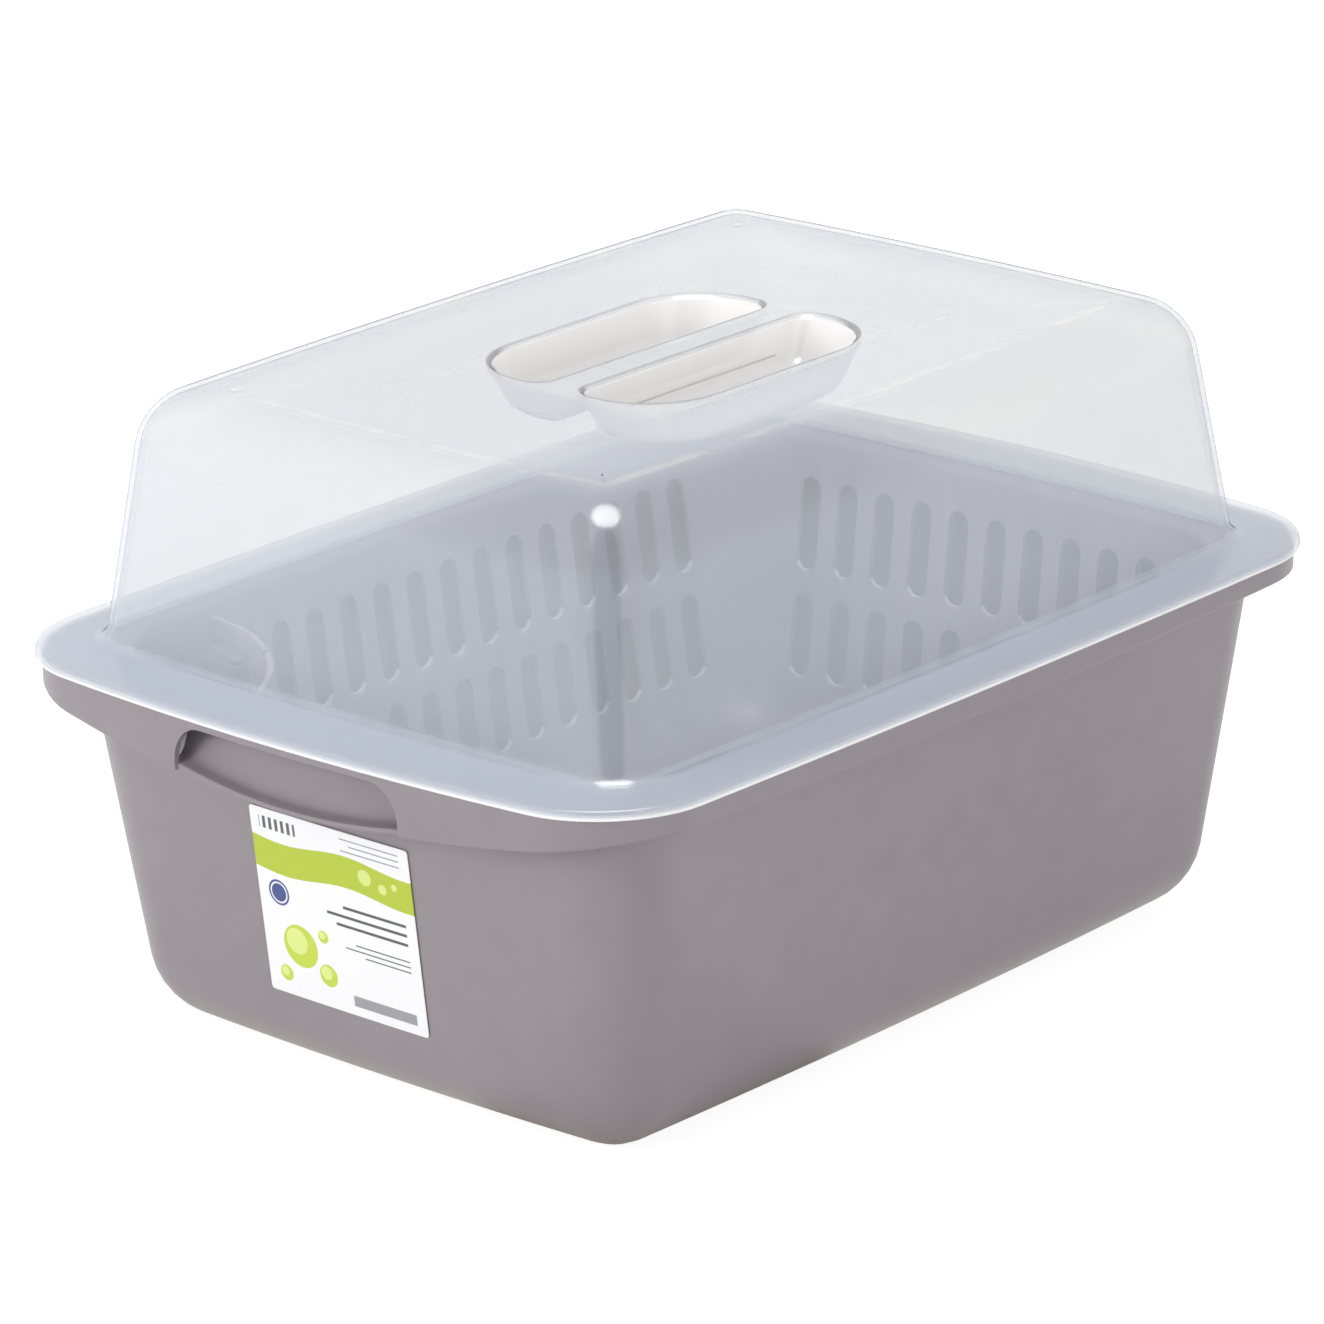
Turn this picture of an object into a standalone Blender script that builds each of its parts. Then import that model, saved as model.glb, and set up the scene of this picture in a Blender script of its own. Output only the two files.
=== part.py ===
"""Covered dish drainer.

A wash tub with a turned-down rim, a slotted drain basket that hangs in it, a cutlery
stand of two hinged leaves in one corner of the basket, and a clear hood over it all.
+Z is up, +Y runs along the long side, and the end with the label faces -Y.
"""
import math
from collections import namedtuple

import bmesh
import bpy
from mathutils import Matrix, Vector

# Overall size, to the edge of the hood's flange and to the hood's top
OVERALL_WIDTH = 0.295
OVERALL_DEPTH = 0.405
OVERALL_HEIGHT = 0.230

# Clearances between pieces that rest on or pass each other
SEAT_GAP = 0.0003
PIN_CLEARANCE = 0.0001
SWING_GAP = 0.0010
CUT_OVERRUN = 0.0060

# The rim that tub, basket and hood share: its corner and the bow of its sides
RIM_CORNER = 0.0375
RIM_SIDE_BOW = 0.0025
RIM_END_BOW = 0.0097

# Tub: its mouth stands back from the overall size and its walls lean in to the foot
TUB_HEIGHT = 0.1384
TUB_SIDE_SETBACK = 0.01305
TUB_END_SETBACK = 0.02185
TUB_SIDE_LEAN = 0.01870
TUB_END_LEAN = 0.01565
TUB_FOOT_CORNER = 0.0220
TUB_MOUTH_CORNER = 0.0280
TUB_BOTTOM_FILLET = 0.0246
TUB_RIM_FILLET = 0.0040
TUB_WALL = 0.0022
WALL_BOW = 0.0028
RIM_EDGE_ROUND = 0.0016
RIM_BAND = 0.0070

# Skirt that hangs from the tub's rim, deeper at the two ends than along the sides
SKIRT_SIDE_DROP = 0.0106
SKIRT_CORNER_DROP = 0.0072
SKIRT_END_DROP = 0.0239

# Finger scoop in each end of the skirt
SCOOP_WIDTH = 0.1030
SCOOP_TOP_WIDTH = 0.0870
SCOOP_TOP_CORNER = 0.0085
SCOOP_TOP_DROP = 0.0046
SCOOP_LIP_SAG = 0.0030
SCOOP_LIP_ROUND = 0.0022
SCOOP_BEND = 0.0080
SCOOP_BEND_SHARE = 0.42
SCOOP_SIDE_LAP = 0.0030

# Hood: its walls stand back from the overall size and lean in to the top
HOOD_WALL = 0.0018
HOOD_LIP_HEIGHT = 0.0036
HOOD_SIDE_SETBACK = 0.02275
HOOD_END_SETBACK = 0.03010
HOOD_SIDE_LEAN = 0.01050
HOOD_END_LEAN = 0.01085
HOOD_FOOT_CORNER = 0.0150
HOOD_TOP_CORNER = 0.0190
HOOD_TOP_FILLET = 0.0195
HOOD_TOP_DISH = 0.0022
HOOD_DISH_INSET = 0.0600
HOOD_FOOT_FILLET = 0.0050
HOOD_EDGE_ROUND = 0.0014

# Four small studs near the corners of the hood's top
STUD_INSET = 0.0300
STUD_FOOT_RADIUS = 0.0024
STUD_TOP_RADIUS = 0.0012

# The two finger pockets in the hood's top, with the grip bar between them
POCKET_LENGTH = 0.1270
POCKET_SPAN = 0.0975
POCKET_DEPTH = 0.0168
POCKET_RIM_ROUND = 0.0030
POCKET_RIM_SHARES = (0, 0.35, 0.7)
POCKET_FLOOR_FILLET = 0.0050
POCKET_DRAFT_RUN = 0.0020
POCKET_END_RUN = 0.0070
POCKET_OUTER_CORNER = 0.0300
POCKET_BAR_CORNER = 0.0100
GRIP_BAR_FLAT = 0.0106

# Drain basket: its inner faces stand in from the tub's outer faces at floor and mouth
BASKET_WALL = 0.0018
BASKET_FLOOR_HEIGHT = 0.0260
BASKET_FLOOR_SIDE_INSET = 0.01146
BASKET_FLOOR_END_INSET = 0.01254
BASKET_FLOOR_CORNER = 0.0240
BASKET_MOUTH_SIDE_INSET = 0.01205
BASKET_MOUTH_END_INSET = 0.01175
BASKET_MOUTH_CORNER = 0.0300
BASKET_FLOOR_FILLET = 0.0180
BASKET_MOUTH_ROUND = 0.0025
BASKET_RIM_FILLET = 0.0020

# Slots in the basket's walls and floor
SLOT_WIDTH = 0.0095
SLOT_PITCH = 0.0176
SLOT_CORNER_MARGIN = 0.0350
LOWER_SLOT_BOTTOM = 0.0460
LOWER_SLOT_HEIGHT = 0.0320
SLOT_ROW_GAP = 0.0090
SLOT_RIM_MARGIN = 0.0154
FLOOR_SLOT_WIDTH = 0.0065
FLOOR_SLOT_LENGTH = 0.0500
FLOOR_SLOT_PITCH = 0.0180
FLOOR_SLOT_ROW_PITCH = 0.0620
FLOOR_SLOT_MARGIN = 0.0060

# Cutlery stand: two curved leaves, each hinged on its own wall of the basket
STAND_RADIUS = 0.0840
STAND_REACH = 0.0560
STAND_CENTRE_OFFSET = 0.0030
STAND_SIDE_HINGE_OFFSET = 0.0055
STAND_END_HINGE_OFFSET = 0.0064
STAND_RIM_DROP = 0.0040
STAND_FOOT_RISE = 0.0200
STAND_THICKNESS = 0.0020
STAND_MEETING_GAP = 0.0020
STAND_EAR_HEIGHT = 0.0100
STAND_EAR_SHARE = 0.2
STAND_SLOT_WIDTH = 0.0050
STAND_SLOT_HEIGHT = 0.0460
STAND_SLOT_PITCH = 0.0110
BARREL_RADIUS = 0.0034
PIN_RADIUS = 0.0015
PIN_HEAD_RADIUS = 0.0026
PIN_HEAD_HEIGHT = 0.0012
LUG_RADIUS = 0.0046
LUG_THICKNESS = 0.0040

# Paper label on the tub's front end
LABEL_WIDTH = 0.0735
LABEL_HEIGHT = 0.0695
LABEL_DROP = 0.0374
LABEL_SHIFT = 0.0030
LABEL_THICKNESS = 0.0003

# How finely the curves are divided
TIGHTEST_CORNER = 0.0030
CORNER_STEPS = 6
SIDE_STEPS = 6
FILLET_STEPS = 4
SMALL_STEPS = 2
ROUND_SIDES = 20
LEAF_STEPS = 7
SCOOP_STEPS = 10
SCOOP_CURVE_STEPS = 4
LABEL_STEPS = 6
SLOT_END_STEPS = 3

# Places that follow from the sizes above
LEDGE_HEIGHT = TUB_HEIGHT - BASKET_WALL - SEAT_GAP
BASKET_RIM_TOP = TUB_HEIGHT
HOOD_UNDERSIDE = TUB_HEIGHT + SEAT_GAP
HOOD_FLANGE_TOP = HOOD_UNDERSIDE + HOOD_WALL
POCKET_RIM_HEIGHT = OVERALL_HEIGHT - HOOD_TOP_DISH
TUB_RIM_INSET = HOOD_WALL + SEAT_GAP
BASKET_RIM_INSET = TUB_RIM_INSET + RIM_BAND + SEAT_GAP
SCOOP_TOP = TUB_HEIGHT - SCOOP_TOP_DROP
LABEL_TOP = TUB_HEIGHT - LABEL_DROP
UPPER_SLOT_BOTTOM = LOWER_SLOT_BOTTOM + LOWER_SLOT_HEIGHT + SLOT_ROW_GAP
UPPER_SLOT_HEIGHT = BASKET_RIM_TOP - SLOT_RIM_MARGIN - UPPER_SLOT_BOTTOM

# Widths and depths that follow from the overall size
TUB_MOUTH_WIDTH = OVERALL_WIDTH - 2 * TUB_SIDE_SETBACK
TUB_MOUTH_DEPTH = OVERALL_DEPTH - 2 * TUB_END_SETBACK
TUB_FOOT_WIDTH = TUB_MOUTH_WIDTH - 2 * TUB_SIDE_LEAN
TUB_FOOT_DEPTH = TUB_MOUTH_DEPTH - 2 * TUB_END_LEAN
HOOD_FOOT_WIDTH = OVERALL_WIDTH - 2 * HOOD_SIDE_SETBACK
HOOD_FOOT_DEPTH = OVERALL_DEPTH - 2 * HOOD_END_SETBACK
HOOD_TOP_WIDTH = HOOD_FOOT_WIDTH - 2 * HOOD_SIDE_LEAN
HOOD_TOP_DEPTH = HOOD_FOOT_DEPTH - 2 * HOOD_END_LEAN
BASKET_MOUTH_WIDTH = TUB_MOUTH_WIDTH - 2 * BASKET_MOUTH_SIDE_INSET
BASKET_MOUTH_DEPTH = TUB_MOUTH_DEPTH - 2 * BASKET_MOUTH_END_INSET
WALL_LEFT_TO_MOUTH = 1 - BASKET_FLOOR_HEIGHT / TUB_HEIGHT
BASKET_FLOOR_WIDTH = (TUB_MOUTH_WIDTH - 2 * TUB_SIDE_LEAN * WALL_LEFT_TO_MOUTH
                      - 2 * BASKET_FLOOR_SIDE_INSET)
BASKET_FLOOR_DEPTH = (TUB_MOUTH_DEPTH - 2 * TUB_END_LEAN * WALL_LEFT_TO_MOUTH
                      - 2 * BASKET_FLOOR_END_INSET)

Walls = namedtuple("Walls", "low_width low_depth low_corner low_height "
                            "high_width high_depth high_corner high_height bow")

TUB_WALLS = Walls(TUB_FOOT_WIDTH, TUB_FOOT_DEPTH, TUB_FOOT_CORNER, 0,
                  TUB_MOUTH_WIDTH, TUB_MOUTH_DEPTH, TUB_MOUTH_CORNER, TUB_HEIGHT, WALL_BOW)
HOOD_WALLS = Walls(HOOD_FOOT_WIDTH, HOOD_FOOT_DEPTH, HOOD_FOOT_CORNER, HOOD_FLANGE_TOP,
                   HOOD_TOP_WIDTH, HOOD_TOP_DEPTH, HOOD_TOP_CORNER, OVERALL_HEIGHT, WALL_BOW)
BASKET_WALLS = Walls(BASKET_FLOOR_WIDTH, BASKET_FLOOR_DEPTH, BASKET_FLOOR_CORNER,
                     BASKET_FLOOR_HEIGHT, BASKET_MOUTH_WIDTH, BASKET_MOUTH_DEPTH,
                     BASKET_MOUTH_CORNER, BASKET_RIM_TOP, WALL_BOW)


def mix(low, high, share):
    """The value that lies the given share of the way from low to high."""
    return low + (high - low) * share


def side_points(start, end):
    """The points that divide a straight side evenly, without its two ends."""
    return [start.lerp(end, step / SIDE_STEPS) for step in range(1, SIDE_STEPS)]


def outline(width, depth, corner, side_bow, end_bow, height):
    """A round-cornered ring whose four sides bow outwards, as a list of points."""
    half_x = width / 2 - side_bow
    half_y = depth / 2 - end_bow
    corner = max(corner, TIGHTEST_CORNER)
    ring = []
    for turn, (sign_x, sign_y) in enumerate(((1, 1), (-1, 1), (-1, -1), (1, -1))):
        centre = Vector((sign_x * (half_x - corner), sign_y * (half_y - corner), height))
        arc = []
        for step in range(CORNER_STEPS + 1):
            angle = (turn + step / CORNER_STEPS) * math.pi / 2
            arc.append(centre + corner * Vector((math.cos(angle), math.sin(angle), 0)))
        if ring:
            ring.extend(side_points(ring[-1], arc[0]))
        ring.extend(arc)
    ring.extend(side_points(ring[-1], ring[0]))
    bowed = []
    for point in ring:
        across = point.x / half_x
        along = point.y / half_y
        bowed.append(Vector((point.x + side_bow * across * (1 - along * along),
                             point.y + end_bow * along * (1 - across * across),
                             point.z)))
    return bowed


def wall_ring(walls, height, inset=0):
    """The ring of a drafted wall at a height, moved inwards by the inset."""
    share = (height - walls.low_height) / (walls.high_height - walls.low_height)
    return outline(mix(walls.low_width, walls.high_width, share) - 2 * inset,
                   mix(walls.low_depth, walls.high_depth, share) - 2 * inset,
                   mix(walls.low_corner, walls.high_corner, share) - inset,
                   walls.bow, walls.bow, height)


def rim_ring(height, inset):
    """The ring of the shared rim at a height, moved inwards by the inset."""
    return outline(OVERALL_WIDTH - 2 * inset, OVERALL_DEPTH - 2 * inset, RIM_CORNER - inset,
                   RIM_SIDE_BOW, RIM_END_BOW, height)


def arc_rings(walls, centre_height, centre_inset, radius, first_turn, last_turn, steps):
    """Rings along an arc of the wall's section: a turn of 0 points in, 0.25 points up."""
    rings = []
    for step in range(steps + 1):
        angle = mix(first_turn, last_turn, step / steps) * 2 * math.pi
        rings.append(wall_ring(walls, centre_height + radius * math.sin(angle),
                               centre_inset + radius * math.cos(angle)))
    return rings


def side_position(walls, height, along):
    """How far a long wall stands from the middle, at a height and a place along it."""
    share = (height - walls.low_height) / (walls.high_height - walls.low_height)
    half_width = mix(walls.low_width, walls.high_width, share) / 2
    half_depth = mix(walls.low_depth, walls.high_depth, share) / 2
    return half_width - walls.bow * (along / half_depth) ** 2


def end_position(walls, height, across):
    """How far a short wall stands from the middle, at a height and a place across it."""
    share = (height - walls.low_height) / (walls.high_height - walls.low_height)
    half_width = mix(walls.low_width, walls.high_width, share) / 2
    half_depth = mix(walls.low_depth, walls.high_depth, share) / 2
    return half_depth - walls.bow * (across / half_width) ** 2


def add_loft(bm, rings):
    """Join rings of equally many points into one closed skin, with a face on each end."""
    loops = [[bm.verts.new(point) for point in ring] for ring in rings]
    count = len(loops[0])
    for low, high in zip(loops, loops[1:]):
        for index in range(count):
            after = (index + 1) % count
            bm.faces.new((low[index], low[after], high[after], high[index]))
    bm.faces.new(reversed(loops[0]))
    bm.faces.new(loops[-1])


def add_cylinder(bm, radius, centre_x, centre_y, bottom, top):
    """An upright cylinder between two heights."""
    place = Matrix.Translation((centre_x, centre_y, (bottom + top) / 2))
    bmesh.ops.create_cone(bm, cap_ends=True, segments=ROUND_SIDES, radius1=radius,
                          radius2=radius, depth=top - bottom, matrix=place)


def stadium(width, length):
    """A slot's outline, long in its second direction, with a round at both ends."""
    points = []
    for end in (0, 1):
        for step in range(SLOT_END_STEPS + 1):
            angle = (end + step / SLOT_END_STEPS) * math.pi
            middle = (length - width) / 2 * (1 - 2 * end)
            points.append((width / 2 * math.cos(angle), middle + width / 2 * math.sin(angle)))
    return points


def add_slot(bm, centre, across, upwards, through, width, length, thickness):
    """A slot-shaped prism that passes a wall along the direction through."""
    rings = []
    for side in (-1, 1):
        face = centre + through * (side * thickness / 2)
        rings.append([face + across * u + upwards * v for u, v in stadium(width, length)])
    add_loft(bm, rings)


def new_object(name, bm, collection):
    """A named object from a bmesh, with its faces turned outwards."""
    bmesh.ops.recalc_face_normals(bm, faces=bm.faces)
    mesh = bpy.data.meshes.new(name)
    bm.to_mesh(mesh)
    bm.free()
    obj = bpy.data.objects.new(name, mesh)
    collection.objects.link(obj)
    return obj


def new_tool(name, bm):
    """An object that only shapes another one."""
    tool = new_object(name, bm, TOOLS)
    tool.hide_render = True
    tool.display_type = "WIRE"
    return tool


def apply_tool(target, tool, operation):
    """Cut the tool out of the target, or join it on, and let it move with the target."""
    follow(tool, target)
    modifier = target.modifiers.new(tool.name, "BOOLEAN")
    modifier.operation = operation
    modifier.solver = "EXACT"
    modifier.object = tool


def finish(obj, red, green, blue, roughness, alpha=1.0, edge_angle=35):
    """Give a piece its own plastic or paper and shade its round faces smooth."""
    material = bpy.data.materials.new(obj.name)
    material.use_nodes = True
    shader = material.node_tree.nodes["Principled BSDF"]
    shader.inputs["Base Color"].default_value = (red, green, blue, 1)
    shader.inputs["Roughness"].default_value = roughness
    shader.inputs["Metallic"].default_value = 0
    shader.inputs["Alpha"].default_value = alpha
    obj.data.materials.append(material)
    obj.data.shade_smooth()
    obj.data.set_sharp_from_angle(angle=math.radians(edge_angle))


def follow(child, parent):
    """Make an object follow its carrier without moving it now."""
    child.parent = parent
    child.matrix_parent_inverse = Matrix.Translation(-parent.location)


def hang_on(child, parent, origin):
    """Put a piece's origin at a point and make it follow its carrier."""
    child.data.transform(Matrix.Translation(-origin))
    child.location = origin
    follow(child, parent)


# Empty the file and make one collection for the pieces and one for the shaping tools
for old in list(bpy.data.objects):
    bpy.data.objects.remove(old, do_unlink=True)
PIECES = bpy.data.collections.new("covered_dish_drainer")
TOOLS = bpy.data.collections.new("shaping_tools")
bpy.context.scene.collection.children.link(PIECES)
bpy.context.scene.collection.children.link(TOOLS)


# Tub

def skirt_bottom(point):
    """The height of the skirt's lower edge under a point of the rim."""
    across = abs(point.x) / (OVERALL_WIDTH / 2)
    along = abs(point.y) / (OVERALL_DEPTH / 2)
    drop = mix(SKIRT_END_DROP, SKIRT_CORNER_DROP, min(across * across, 1))
    middle = max(0, 1 - along * along)
    side_share = middle * (SKIRT_SIDE_DROP - SKIRT_CORNER_DROP)
    return TUB_HEIGHT - drop - side_share * min(across * across, 1)


def skirt_ring(inset):
    """The ring along the skirt's lower edge."""
    return [Vector((point.x, point.y, skirt_bottom(point)))
            for point in rim_ring(TUB_HEIGHT, inset)]


def tub_rings():
    """The tub's section, from the middle of its underside round the rim to its floor."""
    flange_under = LEDGE_HEIGHT - TUB_WALL
    band_under = TUB_HEIGHT - TUB_WALL
    skirt_inset = TUB_RIM_INSET + TUB_WALL
    band_inset = TUB_RIM_INSET + RIM_BAND + TUB_WALL
    inner_fillet = TUB_BOTTOM_FILLET - TUB_WALL
    inner_rim_fillet = TUB_RIM_FILLET - TUB_WALL
    rings = arc_rings(TUB_WALLS, TUB_BOTTOM_FILLET, TUB_BOTTOM_FILLET, TUB_BOTTOM_FILLET,
                      0.75, 0.5, FILLET_STEPS)
    rings += arc_rings(TUB_WALLS, flange_under - TUB_RIM_FILLET, -TUB_RIM_FILLET,
                       TUB_RIM_FILLET, 0, 0.25, SMALL_STEPS)
    rings += [rim_ring(flange_under, band_inset), rim_ring(band_under, band_inset),
              rim_ring(band_under, skirt_inset), skirt_ring(skirt_inset),
              skirt_ring(TUB_RIM_INSET),
              rim_ring(TUB_HEIGHT - RIM_EDGE_ROUND, TUB_RIM_INSET),
              rim_ring(TUB_HEIGHT, TUB_RIM_INSET + RIM_EDGE_ROUND),
              rim_ring(TUB_HEIGHT, TUB_RIM_INSET + RIM_BAND),
              rim_ring(LEDGE_HEIGHT, TUB_RIM_INSET + RIM_BAND)]
    rings += arc_rings(TUB_WALLS, LEDGE_HEIGHT - inner_rim_fillet,
                       TUB_WALL - inner_rim_fillet, inner_rim_fillet, 0.25, 0, 1)
    rings += arc_rings(TUB_WALLS, TUB_BOTTOM_FILLET, TUB_BOTTOM_FILLET, inner_fillet,
                       0.5, 0.75, FILLET_STEPS)
    return rings


def scoop_window(bm, end):
    """The opening for the fingers in one end of the skirt: wider at its foot."""
    half_top = SCOOP_TOP_WIDTH / 2
    half_foot = SCOOP_WIDTH / 2
    foot = TUB_HEIGHT - SKIRT_END_DROP - SCOOP_LIP_SAG - CUT_OVERRUN
    shoulder = SCOOP_TOP - SCOOP_TOP_CORNER
    corner_x = half_top - SCOOP_TOP_CORNER
    right = [(half_foot, foot), (half_foot, TUB_HEIGHT - SKIRT_END_DROP)]
    for step in range(FILLET_STEPS + 1):
        angle = step / FILLET_STEPS * math.pi / 2
        right.append((corner_x + SCOOP_TOP_CORNER * math.cos(angle),
                      shoulder + SCOOP_TOP_CORNER * math.sin(angle)))
    profile = right + [(-x, z) for x, z in reversed(right)]
    face = OVERALL_DEPTH / 2 - TUB_RIM_INSET
    nearest = face - RIM_END_BOW * (SCOOP_WIDTH / OVERALL_WIDTH) ** 2 - TUB_WALL
    rings = [[Vector((x, end * y, z)) for x, z in profile]
             for y in (nearest - TUB_WALL, face + CUT_OVERRUN)]
    add_loft(bm, rings)


def scoop_section(across, end):
    """The scoop's section at one place across the end: up the wall, then out to its lip."""
    spread = across / (SCOOP_WIDTH / 2)
    lip_height = skirt_bottom(Vector((across, 0, 0))) + SCOOP_LIP_ROUND
    lip_height -= SCOOP_LIP_SAG * max(0, 1 - spread * spread)
    skirt_face = OVERALL_DEPTH / 2 - TUB_RIM_INSET
    skirt_face -= RIM_END_BOW * (across / (OVERALL_WIDTH / 2)) ** 2
    lip = Vector((skirt_face - SCOOP_LIP_ROUND, lip_height))
    root_height = LEDGE_HEIGHT - TUB_WALL / 2
    root = Vector((end_position(TUB_WALLS, root_height, across), root_height))
    bend = Vector((root.x + SCOOP_BEND / 2, mix(lip_height, root_height, SCOOP_BEND_SHARE)))
    centre = []
    for step in range(SCOOP_CURVE_STEPS + 1):
        share = step / SCOOP_CURVE_STEPS
        first = root.lerp(bend, share)
        second = bend.lerp(lip, share)
        centre.append(first.lerp(second, share))
    half = TUB_WALL / 2
    upper, lower = [], []
    for index, point in enumerate(centre):
        ahead = centre[min(index + 1, len(centre) - 1)]
        behind = centre[max(index - 1, 0)]
        run = (ahead - behind).normalized()
        normal = Vector((-run.y, run.x))
        upper.append(point + normal * half)
        lower.append(point - normal * half)
    tip_run = (centre[-1] - centre[-2]).normalized()
    tip = centre[-1] + tip_run * half
    section = upper + [tip] + list(reversed(lower))
    return [Vector((across, end * point.x, point.y)) for point in section]


def build_tub():
    """One moulding: basin, rim with a ledge for the basket, skirt and finger scoops."""
    bm = bmesh.new()
    add_loft(bm, tub_rings())
    tub = new_object("tub", bm, PIECES)
    windows = bmesh.new()
    scoops = bmesh.new()
    reach = SCOOP_WIDTH / 2 + SCOOP_SIDE_LAP
    for end in (-1, 1):
        scoop_window(windows, end)
        places = [mix(-reach, reach, step / SCOOP_STEPS) for step in range(SCOOP_STEPS + 1)]
        add_loft(scoops, [scoop_section(across, end) for across in places])
    apply_tool(tub, new_tool("finger_windows", windows), "DIFFERENCE")
    apply_tool(tub, new_tool("finger_scoops", scoops), "UNION")
    finish(tub, 0.25, 0.222, 0.25, 0.42)
    return tub


# Hood

def hood_rings():
    """The hood's section, from the middle of its top over the lip and back inside."""
    fillet_height = OVERALL_HEIGHT - HOOD_TOP_FILLET
    foot_height = HOOD_FLANGE_TOP + HOOD_FOOT_FILLET
    lip_bottom = HOOD_FLANGE_TOP - HOOD_LIP_HEIGHT
    rings = [wall_ring(HOOD_WALLS, POCKET_RIM_HEIGHT, HOOD_DISH_INSET)]
    rings += arc_rings(HOOD_WALLS, fillet_height, HOOD_TOP_FILLET, HOOD_TOP_FILLET,
                       0.25, 0.5, FILLET_STEPS)
    rings += arc_rings(HOOD_WALLS, foot_height, -HOOD_FOOT_FILLET, HOOD_FOOT_FILLET,
                       0, -0.25, SMALL_STEPS)
    rings += [rim_ring(HOOD_FLANGE_TOP, HOOD_EDGE_ROUND),
              rim_ring(HOOD_FLANGE_TOP - HOOD_EDGE_ROUND, 0),
              rim_ring(lip_bottom, 0),
              rim_ring(lip_bottom, HOOD_WALL),
              rim_ring(HOOD_UNDERSIDE, HOOD_WALL)]
    rings += arc_rings(HOOD_WALLS, foot_height, -HOOD_FOOT_FILLET,
                       HOOD_FOOT_FILLET + HOOD_WALL, -0.25, 0, SMALL_STEPS)
    rings += arc_rings(HOOD_WALLS, fillet_height, HOOD_TOP_FILLET,
                       HOOD_TOP_FILLET - HOOD_WALL, 0.5, 0.25, FILLET_STEPS)
    rings.append(wall_ring(HOOD_WALLS, POCKET_RIM_HEIGHT - HOOD_WALL, HOOD_DISH_INSET))
    return rings


def pocket_ring(side, height, inset):
    """The outline of a finger pocket at a height: tight corners on the grip bar's side."""
    bar_x = GRIP_BAR_FLAT / 2 + inset
    outer_x = POCKET_SPAN / 2 - inset
    end_run = POCKET_END_RUN * (POCKET_RIM_HEIGHT - height) / POCKET_DEPTH
    half_length = POCKET_LENGTH / 2 - inset - end_run
    outer = max(POCKET_OUTER_CORNER - inset, TIGHTEST_CORNER)
    inner = max(POCKET_BAR_CORNER - inset, TIGHTEST_CORNER)
    corners = ((outer_x - outer, half_length - outer, outer),
               (bar_x + inner, half_length - inner, inner),
               (bar_x + inner, -half_length + inner, inner),
               (outer_x - outer, -half_length + outer, outer))
    ring = []
    for turn, (centre_x, centre_y, radius) in enumerate(corners):
        for step in range(CORNER_STEPS):
            angle = (turn + step / (CORNER_STEPS - 1)) * math.pi / 2
            ring.append(Vector((side * (centre_x + radius * math.cos(angle)),
                                centre_y + radius * math.sin(angle), height)))
    return ring


def pocket_rings(side, skin):
    """A pocket's form, grown by a skin: floor, floor fillet, drafted wall, rounded rim."""
    floor = POCKET_RIM_HEIGHT - POCKET_DEPTH - skin
    wall_inset = POCKET_RIM_ROUND - skin
    fillet = POCKET_FLOOR_FILLET + skin
    foot_inset = wall_inset + POCKET_DRAFT_RUN
    rings = []
    for step in range(FILLET_STEPS):
        angle = step / (FILLET_STEPS - 1) * math.pi / 2
        rings.append(pocket_ring(side, floor + fillet * (1 - math.cos(angle)),
                                 foot_inset + fillet * (1 - math.sin(angle))))
    rim_round = POCKET_RIM_ROUND - skin
    for share in POCKET_RIM_SHARES:
        angle = share * math.pi / 2
        height = POCKET_RIM_HEIGHT - POCKET_RIM_ROUND + rim_round * math.sin(angle)
        rings.append(pocket_ring(side, height, POCKET_RIM_ROUND - rim_round * (1 - math.cos(angle))
                                 - skin))
    return rings


def add_studs(bm):
    """The studs on the hood's top, which reach the overall height."""
    for side in (-1, 1):
        for end in (-1, 1):
            place = Matrix.Translation((side * (HOOD_TOP_WIDTH / 2 - STUD_INSET),
                                        end * (HOOD_TOP_DEPTH / 2 - STUD_INSET),
                                        OVERALL_HEIGHT - HOOD_WALL / 2))
            bmesh.ops.create_cone(bm, cap_ends=True, segments=ROUND_SIDES,
                                  radius1=STUD_FOOT_RADIUS, radius2=STUD_TOP_RADIUS,
                                  depth=HOOD_WALL, matrix=place)


def build_hood():
    """One clear moulding: box with a dished top, flange with a lip, and finger pockets."""
    bm = bmesh.new()
    add_loft(bm, hood_rings())
    hood = new_object("hood", bm, PIECES)
    studs = bmesh.new()
    add_studs(studs)
    cups = bmesh.new()
    hollows = bmesh.new()
    for side in (-1, 1):
        cup = pocket_rings(side, HOOD_WALL)
        cup[-1] = [Vector((p.x, p.y, POCKET_RIM_HEIGHT - HOOD_WALL / 2)) for p in cup[-1]]
        add_loft(cups, cup)
        hollow = pocket_rings(side, 0)
        last = hollow[-1]
        rim = pocket_ring(side, POCKET_RIM_HEIGHT, 0)
        over = [low.lerp(high, 2) for low, high in zip(last, rim)]
        hollow.append(over)
        add_loft(hollows, hollow)
    apply_tool(hood, new_tool("top_studs", studs), "UNION")
    apply_tool(hood, new_tool("pocket_cups", cups), "UNION")
    apply_tool(hood, new_tool("pocket_hollows", hollows), "DIFFERENCE")
    finish(hood, 0.86, 0.88, 0.92, 0.22, alpha=0.35)
    return hood


# Drain basket

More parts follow.
